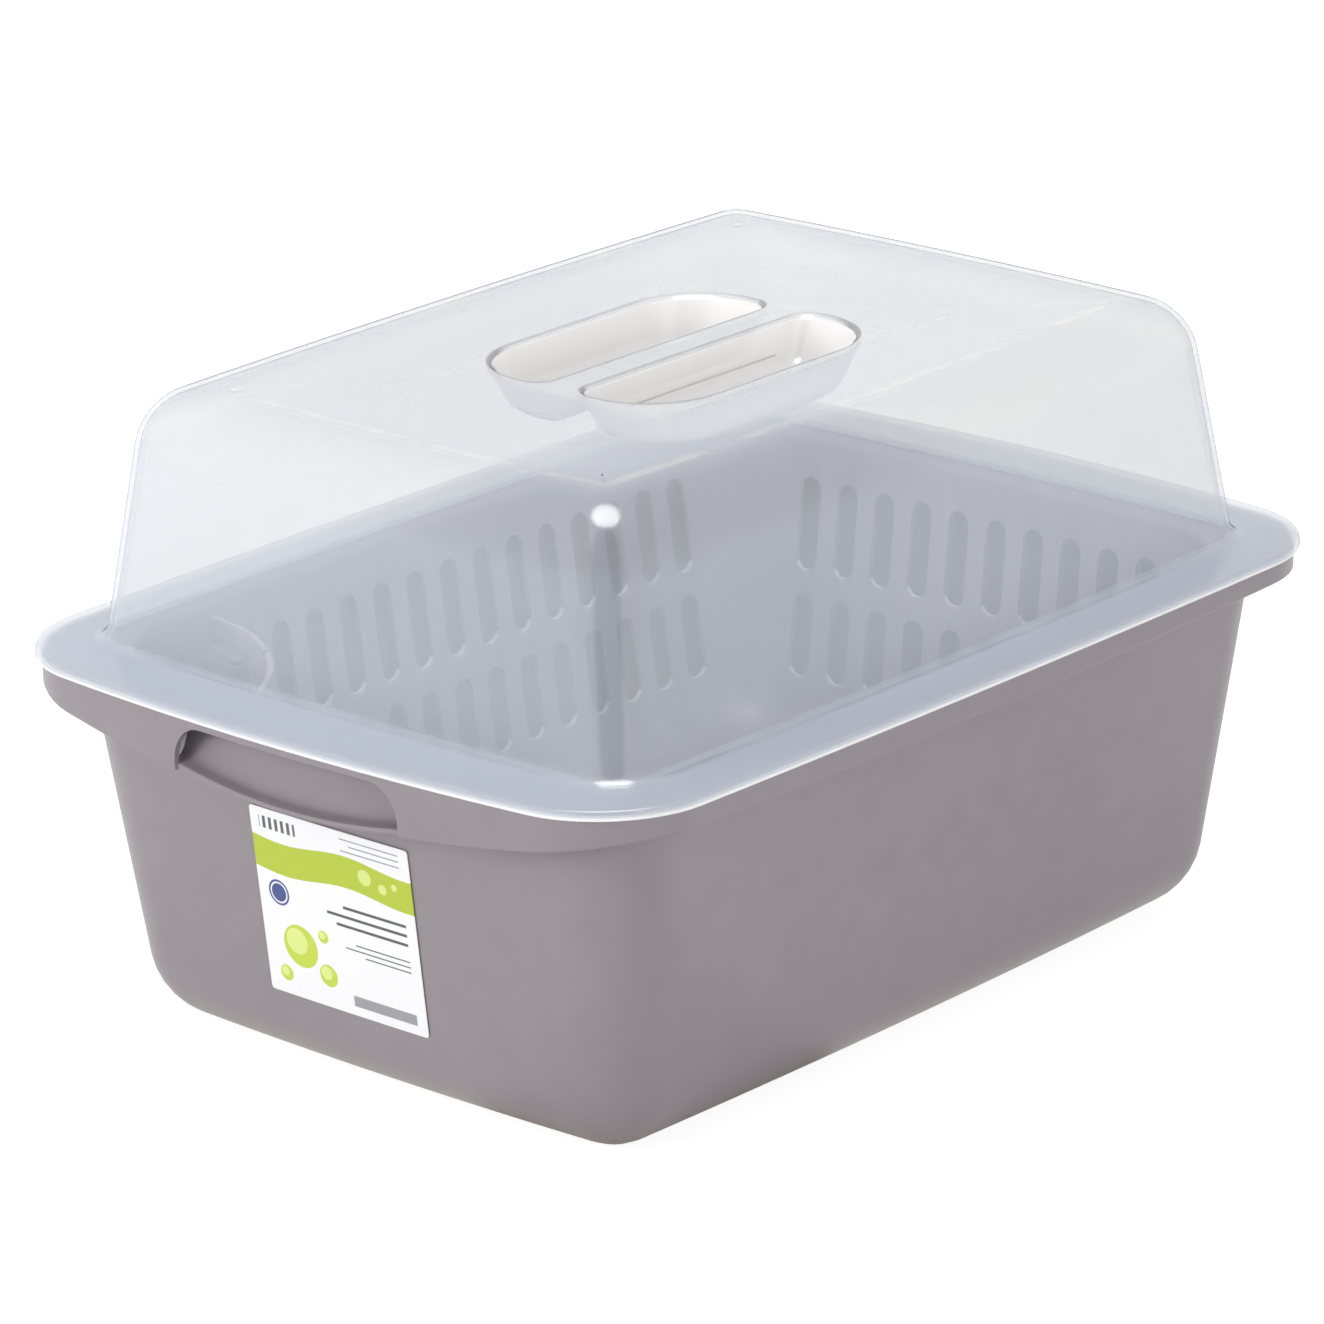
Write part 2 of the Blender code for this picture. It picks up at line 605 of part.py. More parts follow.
def basket_rings():
    """The basket's section, from under its floor up and round the rim to its floor."""
    rim_under = BASKET_RIM_TOP - BASKET_WALL
    fillet_height = BASKET_FLOOR_HEIGHT + BASKET_FLOOR_FILLET
    rings = arc_rings(BASKET_WALLS, fillet_height, BASKET_FLOOR_FILLET,
                      BASKET_FLOOR_FILLET + BASKET_WALL, 0.75, 0.5, FILLET_STEPS)
    rings += arc_rings(BASKET_WALLS, rim_under - BASKET_RIM_FILLET,
                       -BASKET_WALL - BASKET_RIM_FILLET, BASKET_RIM_FILLET, 0, 0.25, 1)
    rings += [rim_ring(rim_under, BASKET_RIM_INSET), rim_ring(BASKET_RIM_TOP, BASKET_RIM_INSET)]
    rings += arc_rings(BASKET_WALLS, BASKET_RIM_TOP - BASKET_MOUTH_ROUND,
                       -BASKET_MOUTH_ROUND, BASKET_MOUTH_ROUND, 0.25, 0, SMALL_STEPS)
    rings += arc_rings(BASKET_WALLS, fillet_height, BASKET_FLOOR_FILLET, BASKET_FLOOR_FILLET,
                       0.5, 0.75, FILLET_STEPS)
    return rings


def spread(length, pitch):
    """Places a pitch apart, centred, as many as the length takes."""
    count = int(length / pitch) + 1
    return [(index - (count - 1) / 2) * pitch for index in range(count)]


def slot_rows():
    """The middle height and the length of each row of wall slots."""
    return ((LOWER_SLOT_BOTTOM + LOWER_SLOT_HEIGHT / 2, LOWER_SLOT_HEIGHT),
            (UPPER_SLOT_BOTTOM + UPPER_SLOT_HEIGHT / 2, UPPER_SLOT_HEIGHT))


def add_wall_slots(bm):
    """Two rows of upright slots in all four walls, left out behind the stand's lugs."""
    lug_reach = LUG_RADIUS + SLOT_WIDTH / 2
    thickness = BASKET_WALL + 2 * CUT_OVERRUN
    along_places = spread(BASKET_MOUTH_DEPTH - 2 * SLOT_CORNER_MARGIN, SLOT_PITCH)
    across_places = spread(BASKET_MOUTH_WIDTH - 2 * SLOT_CORNER_MARGIN, SLOT_PITCH)
    x_axis = Vector((1, 0, 0))
    y_axis = Vector((0, 1, 0))
    z_axis = Vector((0, 0, 1))
    for height, length in slot_rows():
        for side in (-1, 1):
            for along in along_places:
                if side < 0 and abs(along - wall_gate.hinge.y) < lug_reach:
                    continue
                wall = side_position(BASKET_WALLS, height, along) + BASKET_WALL / 2
                add_slot(bm, Vector((side * wall, along, height)), y_axis, z_axis, x_axis,
                         SLOT_WIDTH, length, thickness)
            for across in across_places:
                if side < 0 and abs(across - end_gate.hinge.x) < lug_reach:
                    continue
                wall = end_position(BASKET_WALLS, height, across) + BASKET_WALL / 2
                add_slot(bm, Vector((across, side * wall, height)), x_axis, z_axis, y_axis,
                         SLOT_WIDTH, length, thickness)


def add_floor_slots(bm):
    """Rows of long slots in the flat of the floor."""
    flat_width = BASKET_FLOOR_WIDTH - 2 * (BASKET_FLOOR_FILLET + FLOOR_SLOT_MARGIN)
    flat_depth = BASKET_FLOOR_DEPTH - 2 * BASKET_FLOOR_FILLET - FLOOR_SLOT_LENGTH
    middle = BASKET_FLOOR_HEIGHT - BASKET_WALL / 2
    for across in spread(flat_width, FLOOR_SLOT_PITCH):
        for along in spread(flat_depth, FLOOR_SLOT_ROW_PITCH):
            add_slot(bm, Vector((across, along, middle)), Vector((1, 0, 0)),
                     Vector((0, 1, 0)), Vector((0, 0, 1)), FLOOR_SLOT_WIDTH,
                     FLOOR_SLOT_LENGTH, BASKET_WALL + 2 * CUT_OVERRUN)


def add_lug(bm, gate, bottom):
    """A lug on the basket's wall that carries one end of a leaf's hinge pin."""
    root = wall_behind(gate, bottom) - gate.inwards * (BASKET_WALL / 2)
    sideways = Vector((-gate.inwards.y, gate.inwards.x, 0))
    plan = [root + sideways * LUG_RADIUS, root - sideways * LUG_RADIUS]
    for step in range(2 * FILLET_STEPS + 1):
        angle = (step / (2 * FILLET_STEPS) - 0.5) * math.pi
        plan.append(gate.hinge + (gate.inwards * math.cos(angle)
                                  + sideways * math.sin(angle)) * LUG_RADIUS)
    add_loft(bm, [[Vector((p.x, p.y, height)) for p in plan]
                  for height in (bottom, bottom + LUG_THICKNESS)])


def build_basket():
    """One moulding: walls and floor with drain slots, hanging rim, and four hinge lugs."""
    bm = bmesh.new()
    add_loft(bm, basket_rings())
    basket = new_object("drain_basket", bm, PIECES)
    lugs = bmesh.new()
    openings = bmesh.new()
    add_wall_slots(openings)
    add_floor_slots(openings)
    for gate in (wall_gate, end_gate):
        for bottom in (lower_lug, upper_lug):
            add_lug(lugs, gate, bottom)
        add_cylinder(openings, PIN_RADIUS + PIN_CLEARANCE, gate.hinge.x, gate.hinge.y,
                     lower_lug - CUT_OVERRUN / 2, upper_lug + LUG_THICKNESS + CUT_OVERRUN / 2)
    apply_tool(basket, new_tool("hinge_lugs", lugs), "UNION")
    apply_tool(basket, new_tool("basket_openings", openings), "DIFFERENCE")
    finish(basket, 0.34, 0.36, 0.42, 0.40)
    return basket


# Cutlery stand: places that follow from its arc

Gate = namedtuple("Gate", "hinge hinge_angle meeting_angle inwards")

stand_top = BASKET_RIM_TOP - STAND_RIM_DROP
stand_bottom = BASKET_FLOOR_HEIGHT + STAND_FOOT_RISE
arc_centre = Vector((-BASKET_MOUTH_WIDTH / 2 - STAND_CENTRE_OFFSET,
                     -BASKET_MOUTH_DEPTH / 2 + STAND_REACH - STAND_RADIUS, 0))
wall_hinge_x = STAND_SIDE_HINGE_OFFSET - side_position(BASKET_WALLS, stand_bottom, 0)
wall_hinge_angle = math.acos((wall_hinge_x - arc_centre.x) / STAND_RADIUS)
end_hinge_y = STAND_END_HINGE_OFFSET - end_position(BASKET_WALLS, stand_bottom, 0)
end_hinge_angle = math.asin((end_hinge_y - arc_centre.y) / STAND_RADIUS)
meeting_angle = (wall_hinge_angle + end_hinge_angle) / 2
lower_lug = stand_bottom + LUG_THICKNESS
upper_lug = stand_top - STAND_EAR_HEIGHT - 2 * LUG_THICKNESS
barrel_bottom = lower_lug + LUG_THICKNESS + SEAT_GAP
barrel_top = upper_lug - SEAT_GAP


def on_arc(angle, radius=STAND_RADIUS):
    """A point on the stand's arc, in plan."""
    return arc_centre + radius * Vector((math.cos(angle), math.sin(angle), 0))


wall_gate = Gate(on_arc(wall_hinge_angle), wall_hinge_angle, meeting_angle, Vector((1, 0, 0)))
end_gate = Gate(on_arc(end_hinge_angle), end_hinge_angle, meeting_angle, Vector((0, 1, 0)))


def wall_behind(gate, height):
    """The place on the basket's inner wall straight behind a leaf's hinge."""
    if gate.inwards.x:
        return Vector((-side_position(BASKET_WALLS, height, gate.hinge.y), gate.hinge.y, 0))
    return Vector((gate.hinge.x, -end_position(BASKET_WALLS, height, gate.hinge.x), 0))


def add_arc_plate(bm, first, last, bottom, top):
    """A curved plate of the stand between two angles and two heights."""
    ring = []
    for step in range(LEAF_STEPS + 1):
        ring.append(on_arc(mix(first, last, step / LEAF_STEPS),
                           STAND_RADIUS + STAND_THICKNESS / 2))
    for step in range(LEAF_STEPS + 1):
        ring.append(on_arc(mix(last, first, step / LEAF_STEPS),
                           STAND_RADIUS - STAND_THICKNESS / 2))
    add_loft(bm, [[Vector((p.x, p.y, height)) for p in ring] for height in (bottom, top)])


def add_leaf_slots(bm, gate):
    """Two upright drain slots through the middle of a leaf."""
    middle = (stand_bottom + stand_top) / 2
    half_turn = STAND_SLOT_PITCH / 2 / STAND_RADIUS
    for turn in (-half_turn, half_turn):
        angle = (gate.hinge_angle + gate.meeting_angle) / 2 + turn
        outwards = Vector((math.cos(angle), math.sin(angle), 0))
        sideways = Vector((-outwards.y, outwards.x, 0))
        centre = on_arc(angle) + Vector((0, 0, middle))
        add_slot(bm, centre, sideways, Vector((0, 0, 1)), outwards, STAND_SLOT_WIDTH,
                 STAND_SLOT_HEIGHT, STAND_THICKNESS + 2 * SWING_GAP)


def build_leaf(name, gate, basket):
    """A leaf with its hinge barrel, and an ear along its rim that nearly meets the wall."""
    side = math.copysign(1, gate.hinge_angle - gate.meeting_angle)
    ear_bottom = stand_top - STAND_EAR_HEIGHT
    ear_reach = (gate.hinge - wall_behind(gate, ear_bottom)).length - SWING_GAP
    ear_angle = gate.hinge_angle + side * 2 * math.asin(ear_reach / 2 / STAND_RADIUS)
    free_angle = gate.meeting_angle + side * STAND_MEETING_GAP / 2 / STAND_RADIUS
    bm = bmesh.new()
    add_arc_plate(bm, free_angle, gate.hinge_angle, stand_bottom, stand_top)
    leaf = new_object(name, bm, PIECES)
    hang_on(leaf, basket, gate.hinge)
    clear = bmesh.new()
    lug_swing = LUG_RADIUS + SWING_GAP / 2
    add_cylinder(clear, lug_swing, gate.hinge.x, gate.hinge.y,
                 stand_bottom - CUT_OVERRUN, barrel_bottom)
    add_cylinder(clear, lug_swing, gate.hinge.x, gate.hinge.y, barrel_top, ear_bottom)
    added = bmesh.new()
    add_cylinder(added, BARREL_RADIUS, gate.hinge.x, gate.hinge.y, barrel_bottom, barrel_top)
    add_arc_plate(added, mix(gate.hinge_angle, gate.meeting_angle, STAND_EAR_SHARE), ear_angle,
                  ear_bottom + SEAT_GAP, stand_top - SEAT_GAP)
    openings = bmesh.new()
    add_cylinder(openings, PIN_RADIUS + PIN_CLEARANCE, gate.hinge.x, gate.hinge.y,
                 barrel_bottom - SEAT_GAP, barrel_top + SEAT_GAP)
    add_leaf_slots(openings, gate)
    apply_tool(leaf, new_tool(name + "_clearances", clear), "DIFFERENCE")
    apply_tool(leaf, new_tool(name + "_barrel_and_ear", added), "UNION")
    apply_tool(leaf, new_tool(name + "_openings", openings), "DIFFERENCE")
    finish(leaf, 0.34, 0.36, 0.42, 0.40)


def build_pin(name, gate, basket):
    """A hinge pin through both lugs and the barrel, with a flat head on top."""
    head_bottom = upper_lug + LUG_THICKNESS + SEAT_GAP
    bm = bmesh.new()
    add_cylinder(bm, PIN_RADIUS, gate.hinge.x, gate.hinge.y, lower_lug,
                 head_bottom + PIN_HEAD_HEIGHT / 2)
    pin = new_object(name, bm, PIECES)
    hang_on(pin, basket, gate.hinge)
    head = bmesh.new()
    add_cylinder(head, PIN_HEAD_RADIUS, gate.hinge.x, gate.hinge.y, head_bottom,
                 head_bottom + PIN_HEAD_HEIGHT)
    apply_tool(pin, new_tool(name + "_head", head), "UNION")
    finish(pin, 0.34, 0.36, 0.42, 0.35)


# Paper label

def build_label(tub):
    """A sheet of paper that follows the bow and the slope of the tub's front end."""
    sheet_bottom = LABEL_TOP - LABEL_HEIGHT
    bm = bmesh.new()
    rings = []
    for step in range(LABEL_STEPS + 1):
        across = mix(-LABEL_WIDTH / 2, LABEL_WIDTH / 2, step / LABEL_STEPS) - LABEL_SHIFT
        ring = []
        for height, lift in ((sheet_bottom, 0), (LABEL_TOP, 0),
                             (LABEL_TOP, LABEL_THICKNESS), (sheet_bottom, LABEL_THICKNESS)):
            wall = end_position(TUB_WALLS, height, across) + SEAT_GAP + lift
            ring.append(Vector((across, -wall, height)))
        rings.append(ring)
    add_loft(bm, rings)
    label = new_object("paper_label", bm, PIECES)
    hang_on(label, tub, Vector((-LABEL_SHIFT, -end_position(TUB_WALLS, sheet_bottom, 0), 0)))
    finish(label, 0.86, 0.86, 0.88, 0.55)


tub = build_tub()
hood = build_hood()
basket = build_basket()
build_leaf("stand_wall_leaf", wall_gate, basket)
build_leaf("stand_end_leaf", end_gate, basket)
build_pin("stand_wall_pin", wall_gate, basket)
build_pin("stand_end_pin", end_gate, basket)
build_label(tub)
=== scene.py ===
"""A covered dish drainer: tub, drain basket, folding cutlery stand and clear hood."""
import math

import bmesh
import bpy
from mathutils import Matrix, Vector


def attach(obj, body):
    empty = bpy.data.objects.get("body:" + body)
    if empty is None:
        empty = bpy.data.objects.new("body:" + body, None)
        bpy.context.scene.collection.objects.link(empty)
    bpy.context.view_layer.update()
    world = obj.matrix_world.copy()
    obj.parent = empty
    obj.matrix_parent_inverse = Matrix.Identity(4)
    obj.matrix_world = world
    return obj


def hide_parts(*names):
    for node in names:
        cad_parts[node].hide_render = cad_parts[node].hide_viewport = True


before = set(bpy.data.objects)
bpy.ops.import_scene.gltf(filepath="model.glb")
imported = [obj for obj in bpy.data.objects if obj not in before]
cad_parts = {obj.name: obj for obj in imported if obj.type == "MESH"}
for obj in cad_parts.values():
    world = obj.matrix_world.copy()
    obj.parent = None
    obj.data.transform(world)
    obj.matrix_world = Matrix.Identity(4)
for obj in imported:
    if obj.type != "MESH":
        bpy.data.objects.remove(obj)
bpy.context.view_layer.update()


# Camera: a long lens from the front right and a little above, as in the photograph.
# Its place comes from a fit to the outlines of the tub, the flange and the hood.

PICTURE_SIDE = 1324
FOCAL_PIXELS = 6809.06
SENSOR_WIDTH = 36
view_turn = math.radians(41.714)
view_tilt = math.radians(19.225)
view_roll = math.radians(1.142)
look_from = 2.3975
look_shift = (-0.00653, -0.00295)
look_height = 0.115

backwards = Vector((math.sin(view_turn) * math.cos(view_tilt),
                    -math.cos(view_turn) * math.cos(view_tilt), math.sin(view_tilt)))
sideways = Vector((math.cos(view_turn), math.sin(view_turn), 0))
upwards = backwards.cross(sideways)
eye = (Vector((0, 0, look_height)) + backwards * look_from
       + sideways * look_shift[0] + upwards * look_shift[1])
camera_x = sideways * math.cos(view_roll) - upwards * math.sin(view_roll)
camera_y = sideways * math.sin(view_roll) + upwards * math.cos(view_roll)
lens = bpy.data.cameras.new("photo_lens")
lens.sensor_width = SENSOR_WIDTH
lens.lens = FOCAL_PIXELS * SENSOR_WIDTH / PICTURE_SIDE
lens.clip_start = 0.1
lens.clip_end = 50
camera = bpy.data.objects.new("photo_camera", lens)
camera.matrix_world = Matrix.Translation(eye) @ Matrix(
    (camera_x, camera_y, backwards)).transposed().to_4x4()
bpy.context.scene.collection.objects.link(camera)
bpy.context.scene.camera = camera


# Tub: one injection moulding in taupe polypropylene with a satin skin. A flat rim runs
# round its mouth and turns down into a skirt, with a finger scoop let into each end.

RIM_WIDTH = 0.295
RIM_DEPTH = 0.405
RIM_CORNER = 0.0375
RIM_SIDE_BOW = 0.0025
RIM_END_BOW = 0.0097
RIM_TOP = 0.1384
WALL_BOW = 0.0028
TIGHTEST_CORNER = 0.003
SEAT_GAP = 0.0003
CORNER_STEPS = 12
SIDE_CUTS = 11
FILLET_STEPS = 8
CAP_INSET = 0.0015
SMOOTH_ANGLE = math.radians(38)
TUB_WALLS = ((0.0, 0.2315, 0.3300, 0.0220), (RIM_TOP, 0.2689, 0.3613, 0.0280))
TUB_WALL = 0.0022
TUB_FILLET = 0.0246
TUB_LEDGE = 0.1363
TUB_RIM_INSET = 0.0021
TUB_BAND = 0.0070
RIM_ROUND = 0.0016
LEDGE_ROUND = 0.0018
UNDER_ROUND = 0.004
SKIRT_ROUND = 0.0010
SKIRT_EASE = 0.3
SKIRT_DROP = 0.0239
SKIRT_DROP_LOST_AT_SIDES = 0.0167
SKIRT_SAG_ALONG_SIDES = 0.0034


def lay_into(bm, form):
    """Add a finished form to a larger bmesh and return the edges that came with it."""
    mesh = bpy.data.meshes.new("form")
    form.to_mesh(mesh)
    form.free()
    count = len(bm.edges)
    bm.from_mesh(mesh)
    bpy.data.meshes.remove(mesh)
    bm.edges.ensure_lookup_table()
    return bm.edges[count:]


def add_ring(bm, width, depth, corner, side_bow, end_bow, height):
    """Lay one closed ring of edges: a rounded rectangle whose sides bow outwards."""
    half_x = width / 2 - side_bow
    half_y = depth / 2 - end_bow
    ring = bmesh.new()
    sheet = bmesh.ops.create_grid(ring, x_segments=1, y_segments=1, size=1)["verts"]
    bmesh.ops.scale(ring, vec=(half_x, half_y, 1), verts=sheet)
    bmesh.ops.bevel(ring, geom=sheet, offset=corner, offset_type="OFFSET", affect="VERTICES",
                    segments=CORNER_STEPS, profile=0.5, material=-1, clamp_overlap=False)
    sides = sorted(ring.edges, key=lambda edge: edge.calc_length())[-4:]
    bmesh.ops.subdivide_edges(ring, edges=sides, cuts=SIDE_CUTS)
    bmesh.ops.delete(ring, geom=list(ring.faces), context="FACES_ONLY")
    for v in ring.verts:
        across = v.co.x / half_x
        along = v.co.y / half_y
        v.co.x += side_bow * across * (1 - along * along)
        v.co.y += end_bow * along * (1 - across * across)
        v.co.z = height(v.co.x, v.co.y) if callable(height) else height
    return lay_into(bm, ring)


def wall_size(walls, height):
    """A drafted wall's width, depth and corner, from its sizes at two heights."""
    (low, *foot), (high, *mouth) = walls
    share = (height - low) / (high - low)
    return [start + (end - start) * share for start, end in zip(foot, mouth)]


def wall_ring(bm, walls, height, inset=0.0):
    """One ring of a drafted wall, drawn in by an inset."""
    width, depth, corner = wall_size(walls, height)
    return add_ring(bm, width - 2 * inset, depth - 2 * inset,
                    max(corner - inset, TIGHTEST_CORNER), WALL_BOW, WALL_BOW, height)


def rim_ring(bm, height, inset):
    """One ring of the rim that tub, basket and hood share."""
    return add_ring(bm, RIM_WIDTH - 2 * inset, RIM_DEPTH - 2 * inset, RIM_CORNER - inset,
                    RIM_SIDE_BOW, RIM_END_BOW, height)


def arc(centre_height, centre_inset, radius, first, last, steps):
    """Heights and insets round an arc of a section, from one quarter turn to another."""
    for step in range(steps + 1):
        angle = (first + (last - first) * step / steps) * math.pi / 2
        yield centre_height + radius * math.sin(angle), centre_inset + radius * math.cos(angle)


def turn_wall(bm, walls, *section):
    """Rings round an arc of a wall's section."""
    return [wall_ring(bm, walls, height, inset) for height, inset in arc(*section)]


def turn_rim(bm, *section):
    """Rings round an arc of the rim's section."""
    return [rim_ring(bm, height, inset) for height, inset in arc(*section)]


def skin_rings(bm, rings):
    """Bridge the rings one by one and close the first and the last with a flat.

    The rings stand well apart while they are bridged, so that none of the bridges twists.
    """
    heights = []
    for step, ring in enumerate(rings):
        for vert in {vert for edge in ring for vert in edge.verts}:
            heights.append((vert, vert.co.z))
            vert.co.z = step
    for low, high in zip(rings, rings[1:]):
        bmesh.ops.bridge_loops(bm, edges=low + high)
    for vert, height in heights:
        vert.co.z = height
    for edges in (rings[0], rings[-1]):
        cap = bmesh.ops.contextual_create(bm, geom=edges)["faces"]
        bmesh.ops.inset_individual(bm, faces=cap, thickness=CAP_INSET)
    bmesh.ops.recalc_face_normals(bm, faces=bm.faces)


def make_piece(name, bm):
    """Turn a finished bmesh into an object at the origin, smooth between its edges."""
    mesh = bpy.data.meshes.new(name)
    bm.to_mesh(mesh)
    bm.free()
    mesh.shade_smooth()
    mesh.set_sharp_from_angle(angle=SMOOTH_ANGLE)
    piece = bpy.data.objects.new(name, mesh)
    bpy.context.scene.collection.objects.link(piece)
    return piece


def shape_with(piece, bm, operation, name):
    """Join another form on to a piece, or cut it out, and settle the result."""
    bmesh.ops.recalc_face_normals(bm, faces=bm.faces)
    tool = make_piece(name, bm)
    modifier = piece.modifiers.new(name, "BOOLEAN")
    modifier.operation = operation
    modifier.solver = "EXACT"
    modifier.object = tool
    settle(piece)
    bpy.data.objects.remove(tool, do_unlink=True)


def settle(piece):
    """Apply a piece's modifiers to its mesh."""
    graph = bpy.context.evaluated_depsgraph_get()
    shaped = bpy.data.meshes.new_from_object(piece.evaluated_get(graph))
    old = piece.data
    piece.modifiers.clear()
    piece.data = shaped
    bpy.data.meshes.remove(old)
    shaped.shade_smooth()
    shaped.set_sharp_from_angle(angle=SMOOTH_ANGLE)


def break_edges(piece, width, angle):
    """Round a moulding's edges that are sharper than an angle in degrees."""
    bevel = piece.modifiers.new("soft_edges", "BEVEL")
    bevel.width = width
    bevel.segments = 2
    bevel.limit_method = "ANGLE"
    bevel.angle_limit = math.radians(angle)
    bevel.harden_normals = False
    settle(piece)


def skirt_edge(x, y):
    """How high the skirt's lower edge hangs at a place on the rim."""
    across = min(abs(x) / (RIM_WIDTH / 2), 1)
    along = min(abs(y) / (RIM_DEPTH / 2), 1)
    drop = SKIRT_DROP - SKIRT_DROP_LOST_AT_SIDES * across * across
    return RIM_TOP - drop - SKIRT_SAG_ALONG_SIDES * (1 - along * along) * across * across


def skirt_ring(bm, inset, lift):
    """The ring along the skirt's lower edge."""
    return rim_ring(bm, lambda x, y: skirt_edge(x, y) + lift, inset)


def tub_shell():
    """The tub's skin, from under its floor over the rim to the floor inside."""
    bm = bmesh.new()
    under = TUB_LEDGE - TUB_WALL
    skirt_in = TUB_RIM_INSET + TUB_WALL
    band_in = TUB_RIM_INSET + TUB_BAND
    rings = turn_wall(bm, TUB_WALLS, TUB_FILLET, TUB_FILLET, TUB_FILLET, 3, 2, FILLET_STEPS)
    rings += turn_wall(bm, TUB_WALLS, under - UNDER_ROUND, -UNDER_ROUND, UNDER_ROUND, 0, 1, 3)
    rings.append(rim_ring(bm, under, band_in + TUB_WALL))
    rings.append(rim_ring(bm, RIM_TOP - TUB_WALL, band_in + TUB_WALL))
    rings.append(rim_ring(bm, RIM_TOP - TUB_WALL, skirt_in))
    rounding = ((0, 1), (SKIRT_EASE, SKIRT_EASE), (1, 0))
    for run, lift in rounding:
        rings.append(skirt_ring(bm, skirt_in - run * SKIRT_ROUND, lift * SKIRT_ROUND))
    for run, lift in reversed(rounding):
        rings.append(skirt_ring(bm, TUB_RIM_INSET + run * SKIRT_ROUND, lift * SKIRT_ROUND))
    rings += turn_rim(bm, RIM_TOP - RIM_ROUND, TUB_RIM_INSET + RIM_ROUND, RIM_ROUND, 2, 1, 4)
    rings.append(rim_ring(bm, RIM_TOP, band_in))
    rings.append(rim_ring(bm, TUB_LEDGE, band_in))
    rings += turn_wall(bm, TUB_WALLS, TUB_LEDGE - LEDGE_ROUND, TUB_WALL - LEDGE_ROUND,
                       LEDGE_ROUND, 1, 0, 3)
    rings += turn_wall(bm, TUB_WALLS, TUB_FILLET, TUB_FILLET, TUB_FILLET - TUB_WALL,
                       2, 3, FILLET_STEPS)
    skin_rings(bm, rings)
    return make_piece("tub_moulding", bm)


def tub_end_y(x, height):
    """How far out the tub's short wall stands, at a height and a place across it."""
    width, depth, _ = wall_size(TUB_WALLS, height)
    return depth / 2 - WALL_BOW * (x / (width / 2)) ** 2


WINDOW_HALF_WIDTH = 0.0515
WINDOW_CORNER_RUN = 0.0130
WINDOW_CORNER_RISE = 0.0135
WINDOW_TOP = RIM_TOP - 0.0046
WINDOW_FOOT = 0.1054
WINDOW_NEAR = 0.1935
WINDOW_REACH = 0.015
WINDOW_STEPS = 12
SCOOP_WIDTH = 0.109
SCOOP_STEPS = 20
SCOOP_CURVE_STEPS = 12
SCOOP_ROOT = 0.1352
SCOOP_LIP_SEAT = 0.0022
SCOOP_LIP_SAG = 0.003
SCOOP_TIP_ROUND = 0.7

# The web's curve is drawn by its brow, out from the lip and up from the root, and by its
# cove, out and up from the lip.
SCOOP_BROW = (-0.005, 0.0003)
SCOOP_COVE = (-0.011, -0.001)


def side_plate(bm, outline):
    """Lay a flat sheet with a given outline."""
    verts = [bm.verts.new(point) for point in outline]
    return bm.faces.new(verts)


def thicken(bm, run):
    """Extrude the sheet in a bmesh into a closed block."""
    sheet = list(bm.verts) + list(bm.edges) + list(bm.faces)
    grown = bmesh.ops.extrude_face_region(bm, geom=sheet, use_keep_orig=True)["geom"]
    bmesh.ops.translate(bm, vec=run, verts=[v for v in grown if isinstance(v, bmesh.types.BMVert)])


def finger_window(bm, end):
    """The opening in the skirt, round at its upper corners, as a block that cuts it."""
    right = [(WINDOW_HALF_WIDTH, WINDOW_FOOT)]
    for step in range(WINDOW_STEPS + 1):
        angle = step / WINDOW_STEPS * math.pi / 2
        right.append((WINDOW_HALF_WIDTH - WINDOW_CORNER_RUN * (1 - math.cos(angle)),
                      WINDOW_TOP - WINDOW_CORNER_RISE * (1 - math.sin(angle))))
    outline = right + [(-x, z) for x, z in reversed(right)]
    block = bmesh.new()
    side_plate(block, [(x, end * WINDOW_NEAR, z) for x, z in outline])
    thicken(block, (0, end * WINDOW_REACH, 0))
    lay_into(bm, block)


def scoop_section(x, end):
    """The scoop's web cut at one place: out under the rim, down, and out to a lip."""
    sag = SCOOP_LIP_SAG * max(0, 1 - (x / WINDOW_HALF_WIDTH) ** 2)
    skirt_out = RIM_DEPTH / 2 - TUB_RIM_INSET - RIM_END_BOW * (x / (RIM_WIDTH / 2)) ** 2
    lip = Vector((skirt_out - SCOOP_LIP_SEAT, skirt_edge(x, 0) + SCOOP_LIP_SEAT - sag))
    root = Vector((tub_end_y(x, SCOOP_ROOT), SCOOP_ROOT))
    brow = Vector((lip.x + SCOOP_BROW[0], root.y + SCOOP_BROW[1]))
    cove = Vector((lip.x + SCOOP_COVE[0], lip.y + SCOOP_COVE[1]))
    middle = []
    for step in range(SCOOP_CURVE_STEPS + 1):
        share = step / SCOOP_CURVE_STEPS
        first = root.lerp(brow, share).lerp(brow.lerp(cove, share), share)
        second = brow.lerp(cove, share).lerp(cove.lerp(lip, share), share)
        middle.append(first.lerp(second, share))
    over, under = [], []
    for index, point in enumerate(middle):
        run = middle[min(index + 1, SCOOP_CURVE_STEPS)] - middle[max(index - 1, 0)]
        side = Vector((-run.y, run.x)).normalized() * TUB_WALL / 2
        over.append(point + side)
        under.append(point - side)
    run = (middle[-1] - middle[-2]).normalized() * TUB_WALL / 2
    nose = middle[-1] + run * SCOOP_TIP_ROUND
    turn = (over[-1] - middle[-1]) * SCOOP_TIP_ROUND
    tip = [nose + turn, middle[-1] + run, nose - turn]
    return [(x, end * p.x, p.y) for p in over + tip + under[::-1]]


